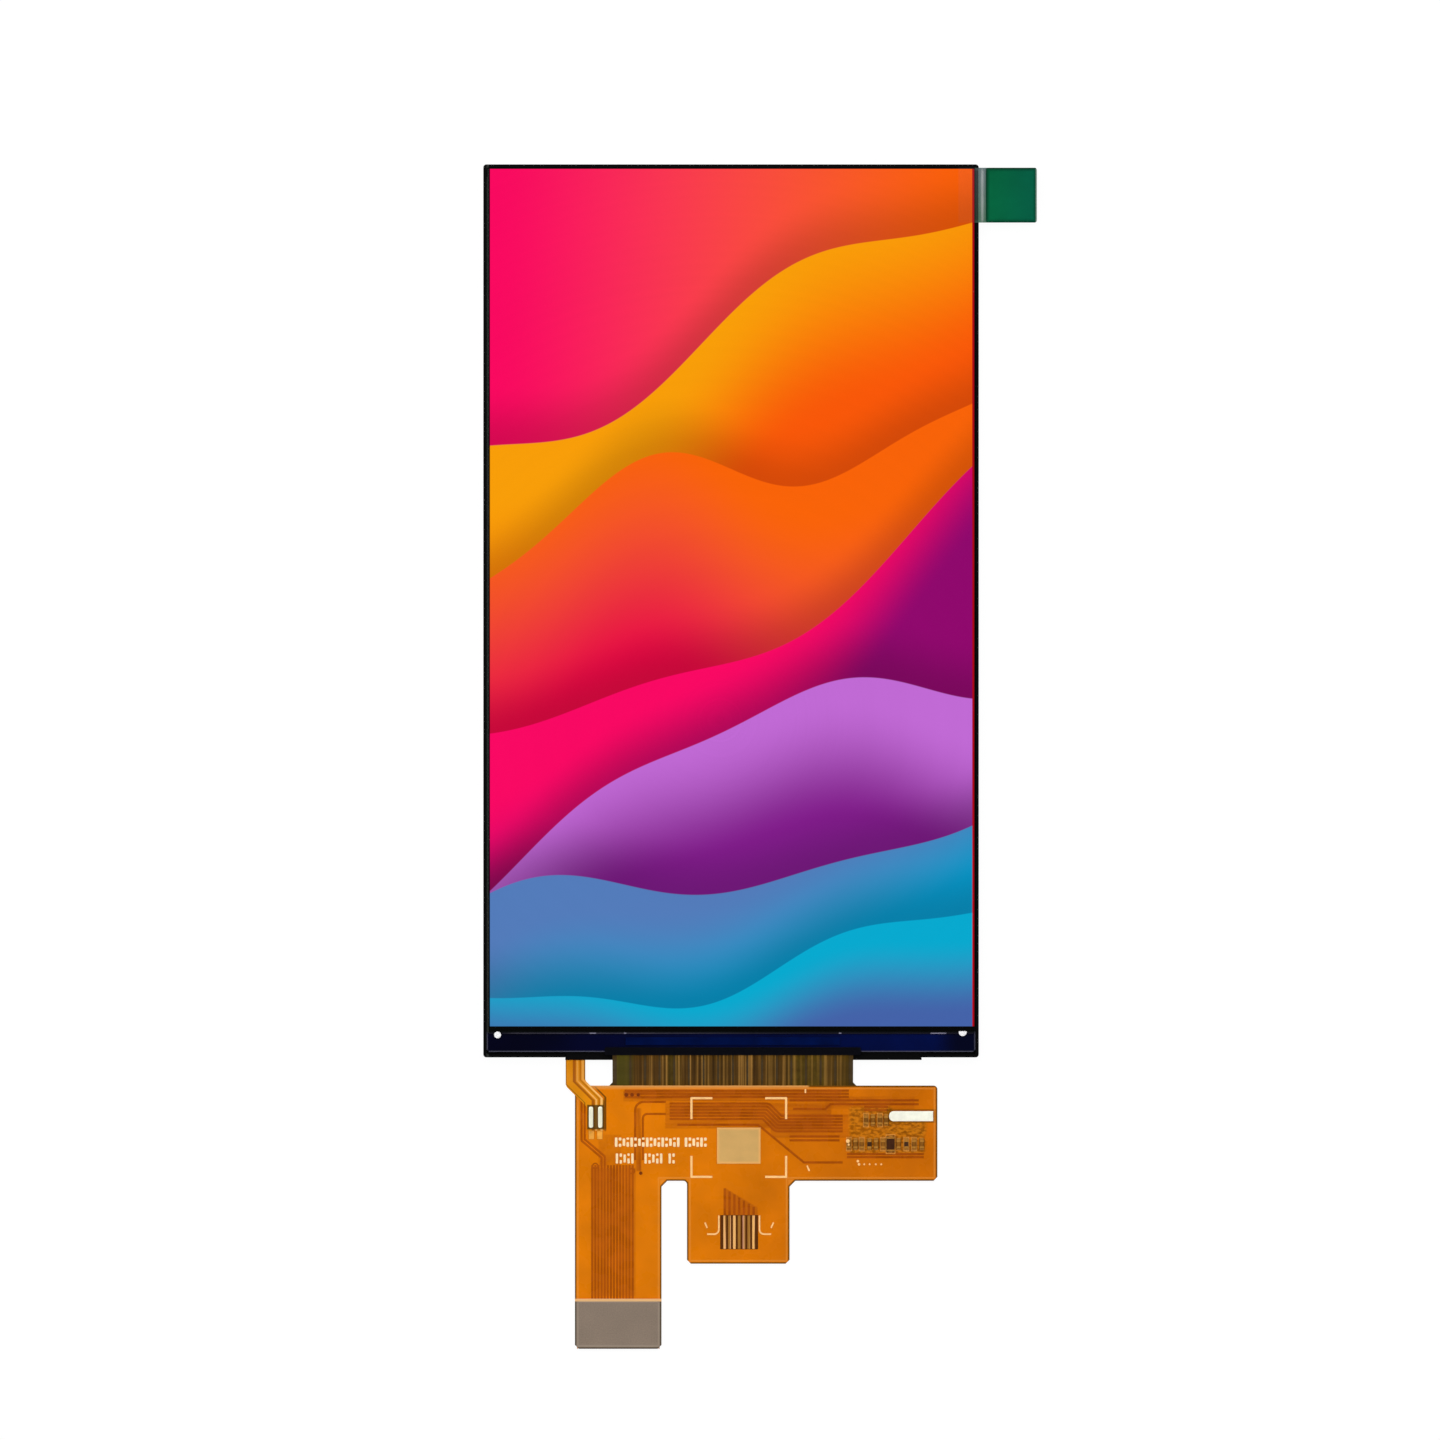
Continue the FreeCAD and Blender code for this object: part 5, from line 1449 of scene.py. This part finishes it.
# %% [markdown]
# A few round dots are left: bright ones where a test point shows through the coverlay, and dark ones where a
# hole is plated through. Each is a thin cylinder whose middle is inset and raised. Two taller cream beads stand
# against the first chip of the lower row: a painted glint on its tinned end.

# %% Dots
DOT_SIDES = 24
DOT_HEIGHT = 0.03
DOT_INSET = 0.25
# two bright beads on the first chip's tinned end, a painted glint
GLINT_BEAD_HEIGHT = 0.36
GLINT_BEADS = [(15.05, -68.3, 0.24), (15.15, -68.75, 0.14)]
TEST_POINTS = [
    (16.35, -70.9, 0.17),
    (16.5, -71.3, 0.17),
    *[(x, -71.3, 0.12) for x in (17.17, 17.86, 18.66, 19.36)],
]
PLATED_HOLES = [(-11.63, -72.45, 0.22), (-13.5, -62.35, 0.26), (-12.75, -62.35, 0.24), (-11.95, -62.35, 0.22)]


def raised_dot(x, y, radius, height=DOT_HEIGHT):
    """A round dot on the coverlay."""
    dot = new_drum(x, y, PRINT_BASE, radius, height, DOT_SIDES)
    pick_top(dot.data)
    bpy.ops.mesh.inset(thickness=radius * DOT_INSET)
    bpy.ops.transform.translate(value=(0, 0, DOT_HEIGHT / 4))
    bpy.ops.object.mode_set(mode="OBJECT")
    return dot


dark_plating = simple_finish("dark_plating", colour(0.20, 0.035, 0.002), 0.4, patches=(2.0, 0.3), shine=0.1)
points = [raised_dot(*values) for values in TEST_POINTS]
# painted glint: the beads on the first chip's end
points += [raised_dot(*values, GLINT_BEAD_HEIGHT) for values in GLINT_BEADS]
shrink(join(points), "test_points", cream_print)
shrink(join([raised_dot(*values) for values in PLATED_HOLES]), "plated_holes", dark_plating)

# %% [markdown]
# ## Table and light
#
# The table is white, and the photograph shows it as pure white around the module. A white surface lit softly
# comes out a little grey, so for camera, mirror and see-through rays the table also glows: the module still
# throws its soft shadow, and the white stays white.

# %% Table
TABLE_SIZE = 4
TABLE_DROP = 0.02 * MM
TABLE_GLOW = 0.93
GLOW_STRENGTH = 1.02


def make_table():
    """A large white plane just under the module."""
    let_go()
    bpy.ops.mesh.primitive_plane_add(size=TABLE_SIZE, location=(0, 0, -TABLE_DROP))
    table = bpy.context.object
    table.name = "table"
    made = bpy.data.materials.new("white_table")
    made.use_nodes = True
    tree = made.node_tree
    tree.nodes.clear()
    paint = add_node(tree, "ShaderNodeBsdfDiffuse", {"Color": colour(0.92, 0.92, 0.92)}).outputs[0]
    light = {"Color": colour(1, 1, 1), "Strength": GLOW_STRENGTH}
    glow = add_node(tree, "ShaderNodeEmission", light).outputs[0]
    path = add_node(tree, "ShaderNodeLightPath").outputs
    seen = largest(tree, path["Is Glossy Ray"], path["Is Transmission Ray"], path["Is Camera Ray"])
    share = calc(tree, "MULTIPLY", seen, TABLE_GLOW)
    mixed = add_node(tree, "ShaderNodeMixShader", {0: share, 1: paint, 2: glow}).outputs[0]
    add_node(tree, "ShaderNodeOutputMaterial", {"Surface": mixed})
    table.data.materials.append(made)
    return table


table = make_table()
print("table", [round(v, 2) for v in table.dimensions], "m")

# %% [markdown]
# Four large soft lamps stand around the module, low enough that its glossy front doesn't mirror them upwards.
# The sky is bright at the horizon and dark overhead for the same reason.

# %% Lamps and sky
LAMP_DISTANCE = 0.75
LAMP_SIZE = 0.5
LAMP_ELEVATION = 48
LAMPS = [("lamp_left", 150, 2.2), ("lamp_front", 250, 1.7), ("lamp_right", 20, 1.5), ("lamp_back", 75, 1.9)]
SKY_OVERHEAD = 0.03
SKY_HORIZON = 1.1
SKY_DARK_FROM = 0.65


def add_lamp(name, around, power):
    """A soft square lamp aimed at the module. Around is its direction from +x towards +y, in degrees."""
    data = bpy.data.lights.new(name, "AREA")
    data.size = LAMP_SIZE
    data.energy = power
    lamp = bpy.data.objects.new(name, data)
    turn, rise = math.radians(around), math.radians(LAMP_ELEVATION)
    away = Vector((math.cos(turn) * math.cos(rise), math.sin(turn) * math.cos(rise), math.sin(rise)))
    lamp.location = away * LAMP_DISTANCE
    lamp.rotation_euler = away.to_track_quat("Z", "Y").to_euler()
    bpy.context.scene.collection.objects.link(lamp)


def make_sky():
    """A grey sky, bright at the horizon and dark overhead."""
    world = bpy.data.worlds.new("sky")
    bpy.context.scene.world = world
    world.use_nodes = True
    tree = world.node_tree
    height = axes(tree, add_node(tree, "ShaderNodeTexCoord").outputs["Generated"])["Z"]
    overhead = step(tree, 0.0, SKY_DARK_FROM, height)
    tone = blend(tree, overhead, colour(*[SKY_HORIZON] * 3), colour(*[SKY_OVERHEAD] * 3))
    tree.links.new(tone, tree.nodes["Background"].inputs["Color"])


for name, around, power in LAMPS:
    add_lamp(name, around, power)
make_sky()
bpy.context.scene.view_settings.view_transform = "Standard"
print(len(LAMPS), "lamps")
